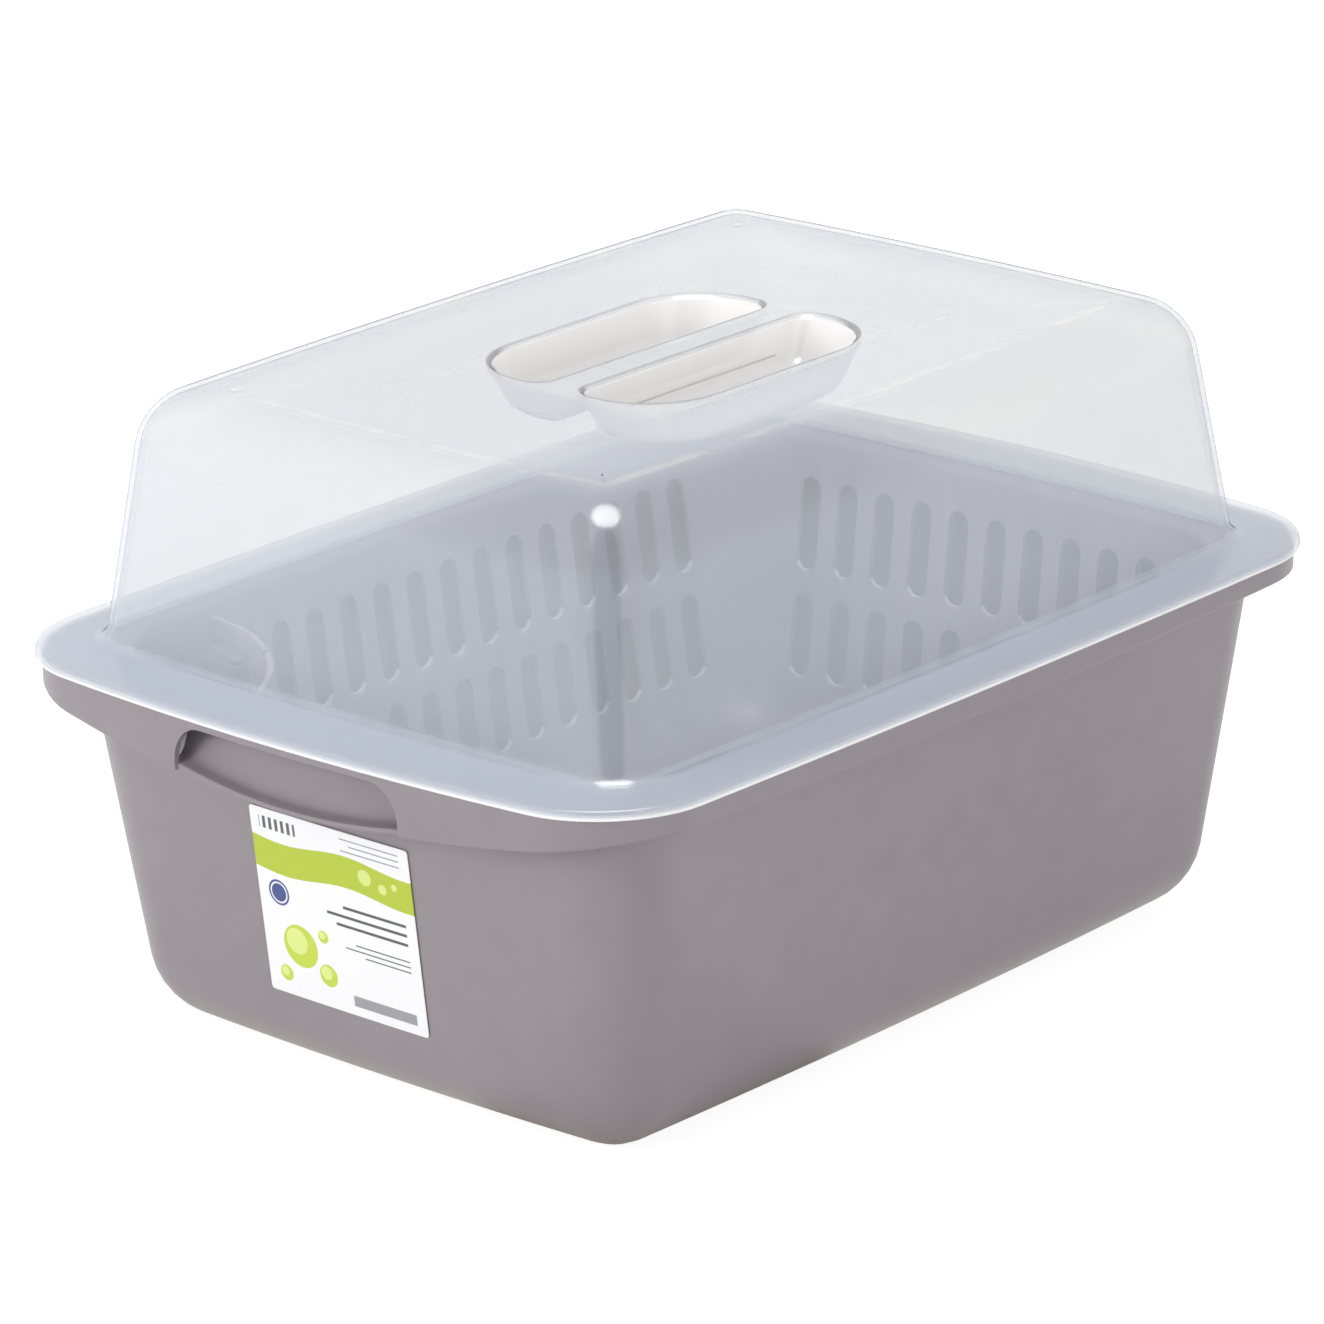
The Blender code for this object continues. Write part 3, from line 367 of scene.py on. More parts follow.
def scoop_web(bm, end):
    """The finger scoop behind the window: one concave web from the wall to its lip."""
    rings = []
    for step in range(SCOOP_STEPS + 1):
        x = (step / SCOOP_STEPS - 0.5) * SCOOP_WIDTH
        section = bmesh.new()
        face = side_plate(section, scoop_section(x, end))
        if 0 < step < SCOOP_STEPS:
            bmesh.ops.delete(section, geom=[face], context="FACES_ONLY")
        rings.append(lay_into(bm, section))
    for low, high in zip(rings, rings[1:]):
        bmesh.ops.bridge_loops(bm, edges=low + high)


tub = tub_shell()
windows = bmesh.new()
webs = bmesh.new()
for end in (-1, 1):
    finger_window(windows, end)
    scoop_web(webs, end)
shape_with(tub, windows, "DIFFERENCE", "finger_windows")
shape_with(tub, webs, "UNION", "finger_scoops")
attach(tub, "tub")
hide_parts("tub")


MIXED_COLOUR = 2


class Shade:
    """A socket of a material's nodes. Sums and products of sockets add Math nodes."""

    def __init__(self, tree, socket=None):
        self.tree = tree
        self.socket = socket

    def node(self, kind, settings, inputs, output=0):
        """A node with its settings, then its sockets' values or links; gives one output."""
        made = self.tree.nodes.new("ShaderNode" + kind)
        for name, value in settings.items():
            setattr(made, name, value)
        for name, value in inputs.items():
            if isinstance(value, Shade):
                self.tree.links.new(value.socket, made.inputs[name])
            else:
                made.inputs[name].default_value = value
        return Shade(self.tree, made.outputs[output])

    def math(self, operation, *values):
        """A Math node on this value and, where the operation takes one, another."""
        return self.node("Math", {"operation": operation}, dict(enumerate((self, *values))))

    def math_on(self, first, operation):
        """A Math node on a number and this value, in that order."""
        return self.node("Math", {"operation": operation}, {0: first, 1: self})

    def __add__(self, other):
        return self.math("ADD", other)

    def __radd__(self, other):
        return self.math_on(other, "ADD")

    def __sub__(self, other):
        return self.math("SUBTRACT", other)

    def __rsub__(self, other):
        return self.math_on(other, "SUBTRACT")

    def __mul__(self, other):
        return self.math("MULTIPLY", other)

    def __rtruediv__(self, other):
        return self.math_on(other, "DIVIDE")

    def rise(self, low, high):
        """From 0 at the low value to 1 at the high one, eased at both ends."""
        return self.node("MapRange", {"interpolation_type": "SMOOTHSTEP"},
                         {"Value": self, "From Min": low, "From Max": high})

    def blend(self, start, end):
        """A colour between two others, by this value."""
        return self.node("Mix", {"data_type": "RGBA"},
                         {"Factor": self, "A": colour(start), "B": colour(end)},
                         output=MIXED_COLOUR)


def colour(value):
    """A colour as its socket takes it: four numbers, or a link left as it is."""
    return value if isinstance(value, Shade) else (*value, 1)


def new_material(name):
    """An empty material, and the wrapper that adds its nodes."""
    material = bpy.data.materials.new(name)
    material.use_nodes = True
    material.node_tree.nodes.clear()
    return material, Shade(material.node_tree)


def show(material, surface):
    """Connect a surface to a material's output."""
    output = material.node_tree.nodes.new("ShaderNodeOutputMaterial")
    material.node_tree.links.new(surface.socket, output.inputs["Surface"])


def own_place(shade):
    """The place in the object's own metres: as a vector, and as x, y and z."""
    place = shade.node("TexCoord", {}, {}, output="Object")
    return place, *(shade.node("SeparateXYZ", {}, {"Vector": place}, output=axis)
                    for axis in "XYZ")


def noise(shade, place, scale, detail):
    """Noise over the piece: scale is in cells to the metre."""
    return shade.node("TexNoise", {}, {"Vector": place, "Scale": scale, "Detail": detail})


POLYPROPYLENE_IOR = 1.49
# Painted highlight on the upward-facing lower edges of the basket's slots: its colour and share.
SLOT_EDGE_PAINTED_HIGHLIGHT = (0.80, 0.81, 0.88)
SLOT_HIGHLIGHT_SHARE = 0.8


def moulded_plastic(name, tone, shine=0.40, highlighted_slot_feet=()):
    """Satin polypropylene: fine eroded grain, slow flow marks and a few wiping scuffs.

    A painted highlight lightens the upward-facing lower edges of the slots at the heights
    highlighted_slot_feet.
    """
    material, shade = new_material(name)
    place, _, _, height = own_place(shade)
    grain = noise(shade, place, 2600, detail=3)
    flow = noise(shade, place, 9, detail=4)
    mottle = noise(shade, place, 70, detail=3)
    stretched = shade.node("Mapping", {}, {"Vector": place, "Scale": (40, 40, 900)})
    scuffs = noise(shade, stretched, 1, detail=2).rise(0.66, 0.80)
    # Painted warm glow: the lowest 3 cm of the moulding are tinted warmer and a little lighter.
    foot = 1 - height.rise(0.0, 0.030)
    darker = tuple(part * 0.95 for part in tone)
    lighter = tuple(part * 1.045 for part in tone)
    painted_warm_glow = (tone[0] * 1.12, tone[1] * 1.02, tone[2] * 0.90)
    skin = (flow * 0.65 + mottle * 0.35).rise(0.30, 0.70).blend(darker, lighter)
    skin = (foot * 0.55).blend(skin, painted_warm_glow)
    # Painted highlight: faces that look upwards at each slot row's lower edge are lightened.
    for foot_height in highlighted_slot_feet:
        normal = shade.node("TexCoord", {}, {}, output="Normal")
        highlight_facing_up = shade.node("SeparateXYZ", {}, {"Vector": normal}, output="Z").rise(0.2, 0.6)
        highlight_row = (height.rise(foot_height - 0.003, foot_height - 0.001)
               * (1 - height.rise(foot_height + 0.005, foot_height + 0.007)))
        skin = (highlight_facing_up * highlight_row * SLOT_HIGHLIGHT_SHARE).blend(skin, SLOT_EDGE_PAINTED_HIGHLIGHT)
    rough = shine + (grain - 0.5) * 0.10 + (flow - 0.5) * 0.08 - scuffs * 0.05
    relief = shade.node("Bump", {}, {"Strength": 0.10, "Distance": 0.0003,
                                     "Height": grain * 0.2 + flow * 1.5})
    show(material, shade.node("BsdfPrincipled", {}, {
        "Base Color": skin, "Roughness": rough, "Normal": relief,
        "IOR": POLYPROPYLENE_IOR}))
    return material


TAUPE = (0.250, 0.221, 0.242)
tub.data.materials.append(moulded_plastic("taupe_polypropylene", TAUPE))


# Paper label: a coated white sticker on the tub's front end, with rounded corners. Its
# print is plain bands, rules and bubbles in grey, lime and blue.

LABEL_LEFT = -0.03975
LABEL_RIGHT = 0.03375
LABEL_LOW = 0.0315
LABEL_HIGH = 0.1010
LABEL_CORNER = 0.0012
LABEL_THICKNESS = 0.0003
PRINT_SHARPNESS = 0.00012
PAPER_TONES = ((0.80, 0.80, 0.83), (0.86, 0.86, 0.89))
BAND_LIME = (0.42, 0.52, 0.035)
BAND_EDGES = (0.0470, 0.0590)
WAVE_RATE = 110
WAVE_HEIGHT = 0.0014
PALE_BUBBLE = (0.62, 0.72, 0.22)
BUBBLE_LIME = (0.50, 0.62, 0.06)
BUBBLE_GLINT = (0.66, 0.76, 0.24)
RING_PLACE = (0.0095, 0.0385)
RING_BLUE = (0.045, 0.07, 0.24)
RING_WHITE = (0.80, 0.81, 0.84)
RULE_END = 0.0690
RULE_BLACK = (0.085, 0.085, 0.09)
RULE_GREY = (0.30, 0.30, 0.32)
STRIPE_BLACK = (0.10, 0.10, 0.11)
STRIPE_RATE = 2200

# Places on the label, from its lower left corner: discs by middle and radius, and rules
# by their left end, their height and their thickness. Rates are radians to the metre.
BAND_BUBBLES = ((0.0520, 0.0545, 0.0030), (0.0600, 0.0520, 0.0019), (0.0655, 0.0540, 0.0013))
BUBBLES = ((0.0170, 0.0200, 0.0080), (0.0290, 0.0120, 0.0042),
           (0.0085, 0.0080, 0.0030), (0.0285, 0.0265, 0.0024))
RULES = ((0.0400, 0.0400, 0.0011), (0.0320, 0.0365, 0.0011), (0.0360, 0.0330, 0.0011),
         (0.0440, 0.0270, 0.0005), (0.0390, 0.0250, 0.0005), (0.0480, 0.0230, 0.0005))
TOP_RULES = ((0.0420, 0.0620, 0.0005), (0.0460, 0.0642, 0.0005), (0.0420, 0.0664, 0.0005))


def label_sheet():
    """A thin sheet that lies on the bow and the slope of the tub's end."""
    bm = bmesh.new()
    half = Vector(((LABEL_RIGHT - LABEL_LEFT) / 2, (LABEL_HIGH - LABEL_LOW) / 2))
    verts = bmesh.ops.create_grid(bm, x_segments=24, y_segments=8, size=1)["verts"]
    bmesh.ops.scale(bm, vec=(half.x, half.y, 1), verts=verts)
    corners = [v for v in bm.verts if len(v.link_edges) == 2]
    bmesh.ops.bevel(bm, geom=corners, offset=LABEL_CORNER, offset_type="OFFSET",
                    affect="VERTICES", segments=4, profile=0.5, material=-1)
    for v in bm.verts:
        x = v.co.x + (LABEL_LEFT + LABEL_RIGHT) / 2
        z = v.co.y + (LABEL_LOW + LABEL_HIGH) / 2
        v.co = (x, -tub_end_y(x, z) - SEAT_GAP, z)
    thicken(bm, (0, -LABEL_THICKNESS, 0))
    bmesh.ops.recalc_face_normals(bm, faces=bm.faces)
    return make_piece("label_sheet", bm)


def label_paper():
    """Coated paper with its printed bands, discs and rules."""
    material, shade = new_material("printed_label_paper")
    place, x, _, z = own_place(shade)
    across = x - LABEL_LEFT
    up = z - LABEL_LOW

    def step(value, edge):
        return value.rise(edge - PRINT_SHARPNESS, edge + PRINT_SHARPNESS)

    def band(value, low, high):
        return step(value, low) * (1 - step(value, high))

    def disc(middle_x, middle_z, radius):
        dx, dz = across - middle_x, up - middle_z
        return 1 - step((dx * dx + dz * dz).math("SQRT"), radius)

    def bar(left, right, low, high):
        return band(across, left, right) * band(up, low, high)

    fibre = noise(shade, place, 900, detail=3)
    paper = fibre.blend(*PAPER_TONES)
    wave = (across * WAVE_RATE).math("SINE") * WAVE_HEIGHT
    ink = band(up + wave, *BAND_EDGES).blend(paper, BAND_LIME)
    for bubble in BAND_BUBBLES:
        ink = disc(*bubble).blend(ink, PALE_BUBBLE)
    for middle_x, middle_z, radius in BUBBLES:
        ink = disc(middle_x, middle_z, radius).blend(ink, BUBBLE_LIME)
        ink = disc(middle_x - radius * 0.2, middle_z + radius * 0.2, radius * 0.62).blend(
            ink, BUBBLE_GLINT)
    for radius, tone in ((0.0048, RING_BLUE), (0.0040, RING_WHITE), (0.0034, RING_BLUE)):
        ink = disc(*RING_PLACE, radius).blend(ink, tone)
    ink = bar(0.0400, RULE_END, 0.0035, 0.0075).blend(ink, RULE_GREY)
    for rules, tone in ((RULES, RULE_BLACK), (TOP_RULES, RULE_GREY)):
        for left, low, thick in rules:
            ink = bar(left, RULE_END, low, low + thick).blend(ink, tone)
    stripes = (across * STRIPE_RATE).math("SINE").rise(-0.15, 0.15)
    ink = (bar(0.0040, 0.0210, 0.0620, 0.0665) * stripes).blend(ink, STRIPE_BLACK)
    relief = shade.node("Bump", {}, {"Strength": 0.06, "Distance": 0.0002, "Height": fibre})
    show(material, shade.node("BsdfPrincipled", {}, {
        "Base Color": ink, "Roughness": 0.42 + (fibre - 0.5) * 0.12, "Normal": relief}))
    return material


label = label_sheet()
label.data.materials.append(label_paper())
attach(label, "tub")
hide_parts("paper_label")


# Drain basket: one polypropylene moulding of the tub's colour, whose tone here is painted
# bluer as a painted cast of the light through the milky hood. It hangs by its rim on the
# tub's ledge, and two rows of slots in its walls and more in its floor drain it.

BASKET_WALLS = ((0.0260, 0.2156, 0.3108, 0.0240), (RIM_TOP, 0.2448, 0.3378, 0.0300))
BASKET_WALL = 0.0018
BASKET_FLOOR = 0.0260
BASKET_FILLET = 0.0180
BASKET_RIM_INSET = TUB_RIM_INSET + TUB_BAND + SEAT_GAP
BASKET_UNDER_ROUND = 0.002
BASKET_EDGE_ROUND = 0.0005
BASKET_MOUTH_ROUND = 0.0025
SLOT_ROWS = ((0.0620, 0.0320), (0.1050, 0.0360))
SLOT_WIDTH = 0.0095
SLOT_PITCH = 0.0176
SLOT_REACH = 0.014
SLOT_RUN_ALONG_SIDE = 0.2678
SLOT_RUN_ALONG_END = 0.1748
SLOT_GAP_TO_HINGE = 0.0094
FLOOR_SLOT_WIDTH = 0.0065
FLOOR_SLOT_LENGTH = 0.0500
FLOOR_SLOT_PITCH = (0.0180, 0.0620)
FLOOR_SLOT_RUN = (0.1676, 0.2248)
WALL_HINGE = Vector((-0.10490, -0.11544, 0))
END_HINGE = Vector((-0.05479, -0.15140, 0))
LUG_RADIUS = 0.0046
LUG_HEIGHTS = (0.0500, 0.1164)
LUG_THICKNESS = 0.0040
PIN_BORE_RADIUS = 0.0016
PIN_BORE_LENGTH = 0.0764
PIN_MIDDLE = 0.0852
# Painted blue cast: the tub's taupe is made bluer, for the light through the milky hood.
BLUE_CAST_BASKET_GREY = (0.288, 0.282, 0.358)


def basket_shell():
    """The basket's skin, from under its floor over the rim to the floor inside."""
    bm = bmesh.new()
    fillet = BASKET_FLOOR + BASKET_FILLET
    under = RIM_TOP - BASKET_WALL
    rings = turn_wall(bm, BASKET_WALLS, fillet, BASKET_FILLET, BASKET_FILLET + BASKET_WALL,
                      3, 2, FILLET_STEPS)
    rings += turn_wall(bm, BASKET_WALLS, under - BASKET_UNDER_ROUND,
                       -BASKET_WALL - BASKET_UNDER_ROUND, BASKET_UNDER_ROUND, 0, 1, 2)
    rings.append(rim_ring(bm, under, BASKET_RIM_INSET))
    rings.append(rim_ring(bm, RIM_TOP - BASKET_EDGE_ROUND, BASKET_RIM_INSET))
    rings.append(rim_ring(bm, RIM_TOP, BASKET_RIM_INSET + BASKET_EDGE_ROUND))
    rings += turn_wall(bm, BASKET_WALLS, RIM_TOP - BASKET_MOUTH_ROUND, -BASKET_MOUTH_ROUND,
                       BASKET_MOUTH_ROUND, 1, 0, 4)
    rings += turn_wall(bm, BASKET_WALLS, fillet, BASKET_FILLET, BASKET_FILLET,
                       2, 3, FILLET_STEPS)
    skin_rings(bm, rings)
    return make_piece("drain_basket_moulding", bm)


def basket_side(height, along, across_wall):
    """How far a wall's inner face stands from the middle at a height."""
    width, depth, _ = wall_size(BASKET_WALLS, height)
    reach, run = (depth, width) if across_wall else (width, depth)
    return reach / 2 - WALL_BOW * (along / (run / 2)) ** 2


def slot_block(bm, width, length, place):
    """A round-ended block, long in its second direction, that cuts one slot."""
    block = bmesh.new()
    verts = bmesh.ops.create_grid(block, x_segments=1, y_segments=1, size=1)["verts"]
    bmesh.ops.scale(block, vec=(width / 2, length / 2, 1), verts=verts)
    bmesh.ops.translate(block, vec=(0, 0, -SLOT_REACH / 2), verts=verts)
    bmesh.ops.bevel(block, geom=verts, offset=width * 0.499, offset_type="OFFSET",
                    affect="VERTICES", segments=6, profile=0.5, material=-1)
    thicken(block, (0, 0, SLOT_REACH))
    bmesh.ops.transform(block, matrix=place, verts=list(block.verts))
    lay_into(bm, block)


def spread(length, pitch):
    """Places a pitch apart, centred, as many as the length takes."""
    count = int(length / pitch) + 1
    return [(index - (count - 1) / 2) * pitch for index in range(count)]


def facing(centre, across, up, out):
    """A placing whose three directions run across a wall, up it and out of it."""
    return Matrix.Translation(centre) @ Matrix((across, up, out)).transposed().to_4x4()


def basket_slots():
    """All the drain slots of walls and floor as one cutting form."""
    bm = bmesh.new()
    x_axis, y_axis, z_axis = Vector((1, 0, 0)), Vector((0, 1, 0)), Vector((0, 0, 1))
    for middle, length in SLOT_ROWS:
        for along in spread(SLOT_RUN_ALONG_SIDE, SLOT_PITCH):
            wall = basket_side(middle, along, False) + BASKET_WALL / 2
            slot_block(bm, SLOT_WIDTH, length,
                       facing(Vector((wall, along, middle)), y_axis, z_axis, x_axis))
            if abs(along - WALL_HINGE.y) > SLOT_GAP_TO_HINGE:
                slot_block(bm, SLOT_WIDTH, length,
                           facing(Vector((-wall, along, middle)), y_axis, z_axis, x_axis))
        for across in spread(SLOT_RUN_ALONG_END, SLOT_PITCH):
            wall = basket_side(middle, across, True) + BASKET_WALL / 2
            slot_block(bm, SLOT_WIDTH, length,
                       facing(Vector((across, wall, middle)), x_axis, z_axis, y_axis))
            if abs(across - END_HINGE.x) > SLOT_GAP_TO_HINGE:
                slot_block(bm, SLOT_WIDTH, length,
                           facing(Vector((across, -wall, middle)), x_axis, z_axis, y_axis))
    for across in spread(FLOOR_SLOT_RUN[0], FLOOR_SLOT_PITCH[0]):
        for along in spread(FLOOR_SLOT_RUN[1], FLOOR_SLOT_PITCH[1]):
            slot_block(bm, FLOOR_SLOT_WIDTH, FLOOR_SLOT_LENGTH,
                       facing(Vector((across, along, BASKET_FLOOR)), x_axis, y_axis, z_axis))
    return bm


def hinge_lugs():
    """Two lugs each on the long and the short wall, which carry the stand's hinge pins."""
    bm = bmesh.new()
    for bottom in LUG_HEIGHTS:
        side_gap = basket_side(bottom, WALL_HINGE.y, False) + WALL_HINGE.x
        end_gap = basket_side(bottom, END_HINGE.x, True) + END_HINGE.y
        for hinge, gap, turn in ((WALL_HINGE, side_gap, 0), (END_HINGE, end_gap, 90)):
            root = -gap - BASKET_WALL / 2
            lug = bmesh.new()
            verts = bmesh.ops.create_grid(lug, x_segments=1, y_segments=1, size=1)["verts"]
            bmesh.ops.scale(lug, vec=((LUG_RADIUS - root) / 2, LUG_RADIUS, 1), verts=verts)
            bmesh.ops.translate(lug, vec=((LUG_RADIUS + root) / 2, 0, bottom), verts=verts)
            outer = [v for v in verts if v.co.x > 0]
            bmesh.ops.bevel(lug, geom=outer, offset=LUG_RADIUS * 0.998, offset_type="OFFSET",
                            affect="VERTICES", segments=8, profile=0.5, material=-1)
            thicken(lug, (0, 0, LUG_THICKNESS))
            place = Matrix.Translation(hinge) @ Matrix.Rotation(math.radians(turn), 4, "Z")
            bmesh.ops.transform(lug, matrix=place, verts=list(lug.verts))
            lay_into(bm, lug)
    return bm


def pin_bores():
    """Round cutters for the hinge pins' holes in the lugs."""
    bm = bmesh.new()
    for hinge in (WALL_HINGE, END_HINGE):
        middle = Matrix.Translation((hinge.x, hinge.y, PIN_MIDDLE))
        bmesh.ops.create_cone(bm, cap_ends=True, segments=32, radius1=PIN_BORE_RADIUS,
                              radius2=PIN_BORE_RADIUS, depth=PIN_BORE_LENGTH, matrix=middle)
    return bm


basket = basket_shell()
shape_with(basket, hinge_lugs(), "UNION", "hinge_lugs")
shape_with(basket, pin_bores(), "DIFFERENCE", "lug_bores")
shape_with(basket, basket_slots(), "DIFFERENCE", "drain_slots")
break_edges(basket, 0.0005, angle=55)
basket.data.materials.append(moulded_plastic(
    "basket_polypropylene", BLUE_CAST_BASKET_GREY,
    highlighted_slot_feet=[middle - length / 2 for middle, length in SLOT_ROWS]))
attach(basket, "basket")
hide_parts("drain_basket")


# Cutlery stand: two curved leaves of the same plastic. Each swings on a pin in two lugs
# of its own wall. Leaves and pins keep the solids' shapes, with their edges broken.

# Painted blue cast: the stand's taupe is made bluer, for the light through the milky hood.
BLUE_CAST_STAND_GREY = (0.297, 0.289, 0.346)
LEAF_EDGE = 0.0004
PIN_EDGE = 0.0002
MERGE_DISTANCE = 0.00001


def soften_node(node, name, width):
    """A merged copy of a CAD node whose sharp edges are rounded."""
    bm = bmesh.new()
    bm.from_mesh(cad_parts[node].data)
    bmesh.ops.remove_doubles(bm, verts=bm.verts, dist=MERGE_DISTANCE)
    bmesh.ops.dissolve_limit(bm, angle_limit=math.radians(1), verts=bm.verts, edges=bm.edges)
    piece = make_piece(name, bm)
    break_edges(piece, width, angle=40)
    return piece


stand_plastic = moulded_plastic("stand_polypropylene", BLUE_CAST_STAND_GREY, shine=0.36)
for node, body, slot, width in (("stand_wall_leaf", "wall_leaf", "stand_leaves", LEAF_EDGE),
                                ("stand_end_leaf", "end_leaf", "stand_leaves", LEAF_EDGE),
                                ("stand_wall_pin", "basket", "stand_pins", PIN_EDGE),
                                ("stand_end_pin", "basket", "stand_pins", PIN_EDGE)):
    part = soften_node(node, node + "_moulding", width)
    part.data.materials.append(stand_plastic)
    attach(part, body)
    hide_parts(node)


# Hood: one milky see-through polypropylene moulding with a flange and a small lip. Two
# finger pockets are sunk into its top and leave a grip bar between them.

HOOD_WALL = 0.0018
HOOD_TOP = 0.2300
FLANGE_TOP = 0.1405
HOOD_WALLS = ((FLANGE_TOP, 0.2495, 0.3448, 0.0150), (HOOD_TOP, 0.2285, 0.3231, 0.0190))
HOOD_FILLET = 0.0195
HOOD_FOOT = 0.0050
HOOD_DISH = 0.0022
DISH_INSET = 0.060
DISH_STEPS = 6
LIP_ROUND = 0.0014
LIP_EDGE = 0.0003
LIP_FOOT = FLANGE_TOP - 0.0036
POCKET_TOP = HOOD_TOP - HOOD_DISH
POCKET_DEPTH = 0.0168
POCKET_RIM = 0.0030
POCKET_RIM_TURN = math.radians(72)
POCKET_NEAR = 0.0053
POCKET_FAR = 0.04875
POCKET_END = 0.0635
POCKET_DRAFT = 0.007
POCKET_BAR_CORNER = 0.010
POCKET_OUTER_CORNER = 0.030
POCKET_FILLET = 0.005
POCKET_FLOOR_INSET = 0.0020
STUD_PLACE = (0.0843, 0.1316)
STUD_RADIUS = 0.0024
STUD_HEIGHT = 0.0016


def dished_top(bm, skin):
    """Rings that lead from the flat middle of the hood's top up to its fillet."""
    rings = []
    for step in range(DISH_STEPS):
        share = step / DISH_STEPS
        sunk = HOOD_DISH * (1 - share * share * (3 - 2 * share))
        rings.append(wall_ring(bm, HOOD_WALLS, HOOD_TOP - skin - sunk,
                               DISH_INSET + (HOOD_FILLET - DISH_INSET) * share))
    return rings


def hood_shell():
    """The hood's skin, from the middle of its top over the lip and back inside."""
    bm = bmesh.new()
    shoulder = HOOD_TOP - HOOD_FILLET
    foot = FLANGE_TOP + HOOD_FOOT
    rings = dished_top(bm, 0)
    rings += turn_wall(bm, HOOD_WALLS, shoulder, HOOD_FILLET, HOOD_FILLET, 1, 2, 12)
    rings += turn_wall(bm, HOOD_WALLS, foot, -HOOD_FOOT, HOOD_FOOT, 0, -1, 5)
    rings += turn_rim(bm, FLANGE_TOP - LIP_ROUND, LIP_ROUND, LIP_ROUND, 1, 2, 4)
    rings.append(rim_ring(bm, LIP_FOOT + LIP_EDGE, 0))
    rings.append(rim_ring(bm, LIP_FOOT, LIP_EDGE))
    rings.append(rim_ring(bm, LIP_FOOT, HOOD_WALL - LIP_EDGE))
    rings.append(rim_ring(bm, LIP_FOOT + LIP_EDGE, HOOD_WALL))
    rings.append(rim_ring(bm, FLANGE_TOP - HOOD_WALL, HOOD_WALL))
    rings += turn_wall(bm, HOOD_WALLS, foot, -HOOD_FOOT, HOOD_FOOT + HOOD_WALL, -1, 0, 5)
    rings += turn_wall(bm, HOOD_WALLS, shoulder, HOOD_FILLET, HOOD_FILLET - HOOD_WALL,
                       2, 1, 12)
    rings += dished_top(bm, HOOD_WALL)[::-1]
    skin_rings(bm, rings)
    return make_piece("hood_moulding", bm)


def top_studs():
    """Four small domes near the corners of the hood's top, which reach its full height."""
    bm = bmesh.new()
    dome = Matrix.Diagonal((STUD_RADIUS, STUD_RADIUS, STUD_HEIGHT, 1))
    for side in (-1, 1):
        for end in (-1, 1):
            place = Matrix.Translation((side * STUD_PLACE[0], end * STUD_PLACE[1],
                                        HOOD_TOP - STUD_HEIGHT))
            bmesh.ops.create_uvsphere(bm, u_segments=24, v_segments=12, radius=1,
                                      matrix=place @ dome)
    return bm


def pocket_ring(bm, side, height, inset):
    """One ring of a finger pocket: tight corners on the bar's side, wide ones outside."""
    drawn_in = POCKET_DRAFT * (POCKET_TOP - height) / POCKET_DEPTH
    near, far = POCKET_NEAR + inset, POCKET_FAR - inset
    half = POCKET_END - inset - drawn_in
    ring = bmesh.new()
    sheet = bmesh.ops.create_grid(ring, x_segments=1, y_segments=1, size=1)["verts"]
    bmesh.ops.scale(ring, vec=((far - near) / 2, half, 1), verts=sheet)
    bmesh.ops.translate(ring, vec=((far + near) / 2, 0, 0), verts=sheet)
    for outside, radius in ((False, POCKET_BAR_CORNER), (True, POCKET_OUTER_CORNER)):
        corners = [v for v in ring.verts if abs(v.co.y) > half * 0.999
                   and (v.co.x > far * 0.999 if outside else v.co.x < near * 1.001)]
        bmesh.ops.bevel(ring, geom=corners, offset=max(radius - inset, TIGHTEST_CORNER),
                        offset_type="OFFSET", affect="VERTICES", segments=12,
                        profile=0.5, material=-1, clamp_overlap=False)
    bmesh.ops.delete(ring, geom=list(ring.faces), context="FACES_ONLY")
    for v in ring.verts:
        v.co.x *= side
        v.co.z = height
    return lay_into(bm, ring)


def pocket_form(bm, side, skin):
    """A pocket's form grown by a skin: floor, fillet, drafted wall and rounded rim."""
    form = bmesh.new()
    floor = POCKET_TOP - POCKET_DEPTH - skin
    fillet = POCKET_FILLET + skin
    rim = POCKET_RIM - skin
    rings = []
    for step in range(FILLET_STEPS + 1):
        angle = step / FILLET_STEPS * math.pi / 2
        rings.append(pocket_ring(form, side, floor + fillet * (1 - math.cos(angle)),
                                 rim + POCKET_FLOOR_INSET + fillet * (1 - math.sin(angle))))
    for share in (0, 0.2, 0.4, 0.6, 0.8, 1):
        angle = share * POCKET_RIM_TURN
        height = POCKET_TOP - POCKET_RIM + rim * math.sin(angle)
        inset = POCKET_RIM - rim * (1 - math.cos(angle)) - skin
        rings.append(pocket_ring(form, side, height, inset))
    if skin:
        rings.append(pocket_ring(form, side, POCKET_TOP - skin / 2, inset))
    else:
        rings.append(pocket_ring(form, side, 2 * POCKET_TOP - height, -inset))
    skin_rings(form, rings)
    lay_into(bm, form)


# Milk tones: bluish for the body, white for painted light and highlights, dark for painted shade.
BLUISH_MILK = (0.78, 0.86, 1.0)
PAINTED_LIGHT_MILK = (1.0, 1.0, 1.0)
SHADED_MILK = (0.22, 0.23, 0.27)
CLEAR_TINT = (1.0, 0.986, 0.958)


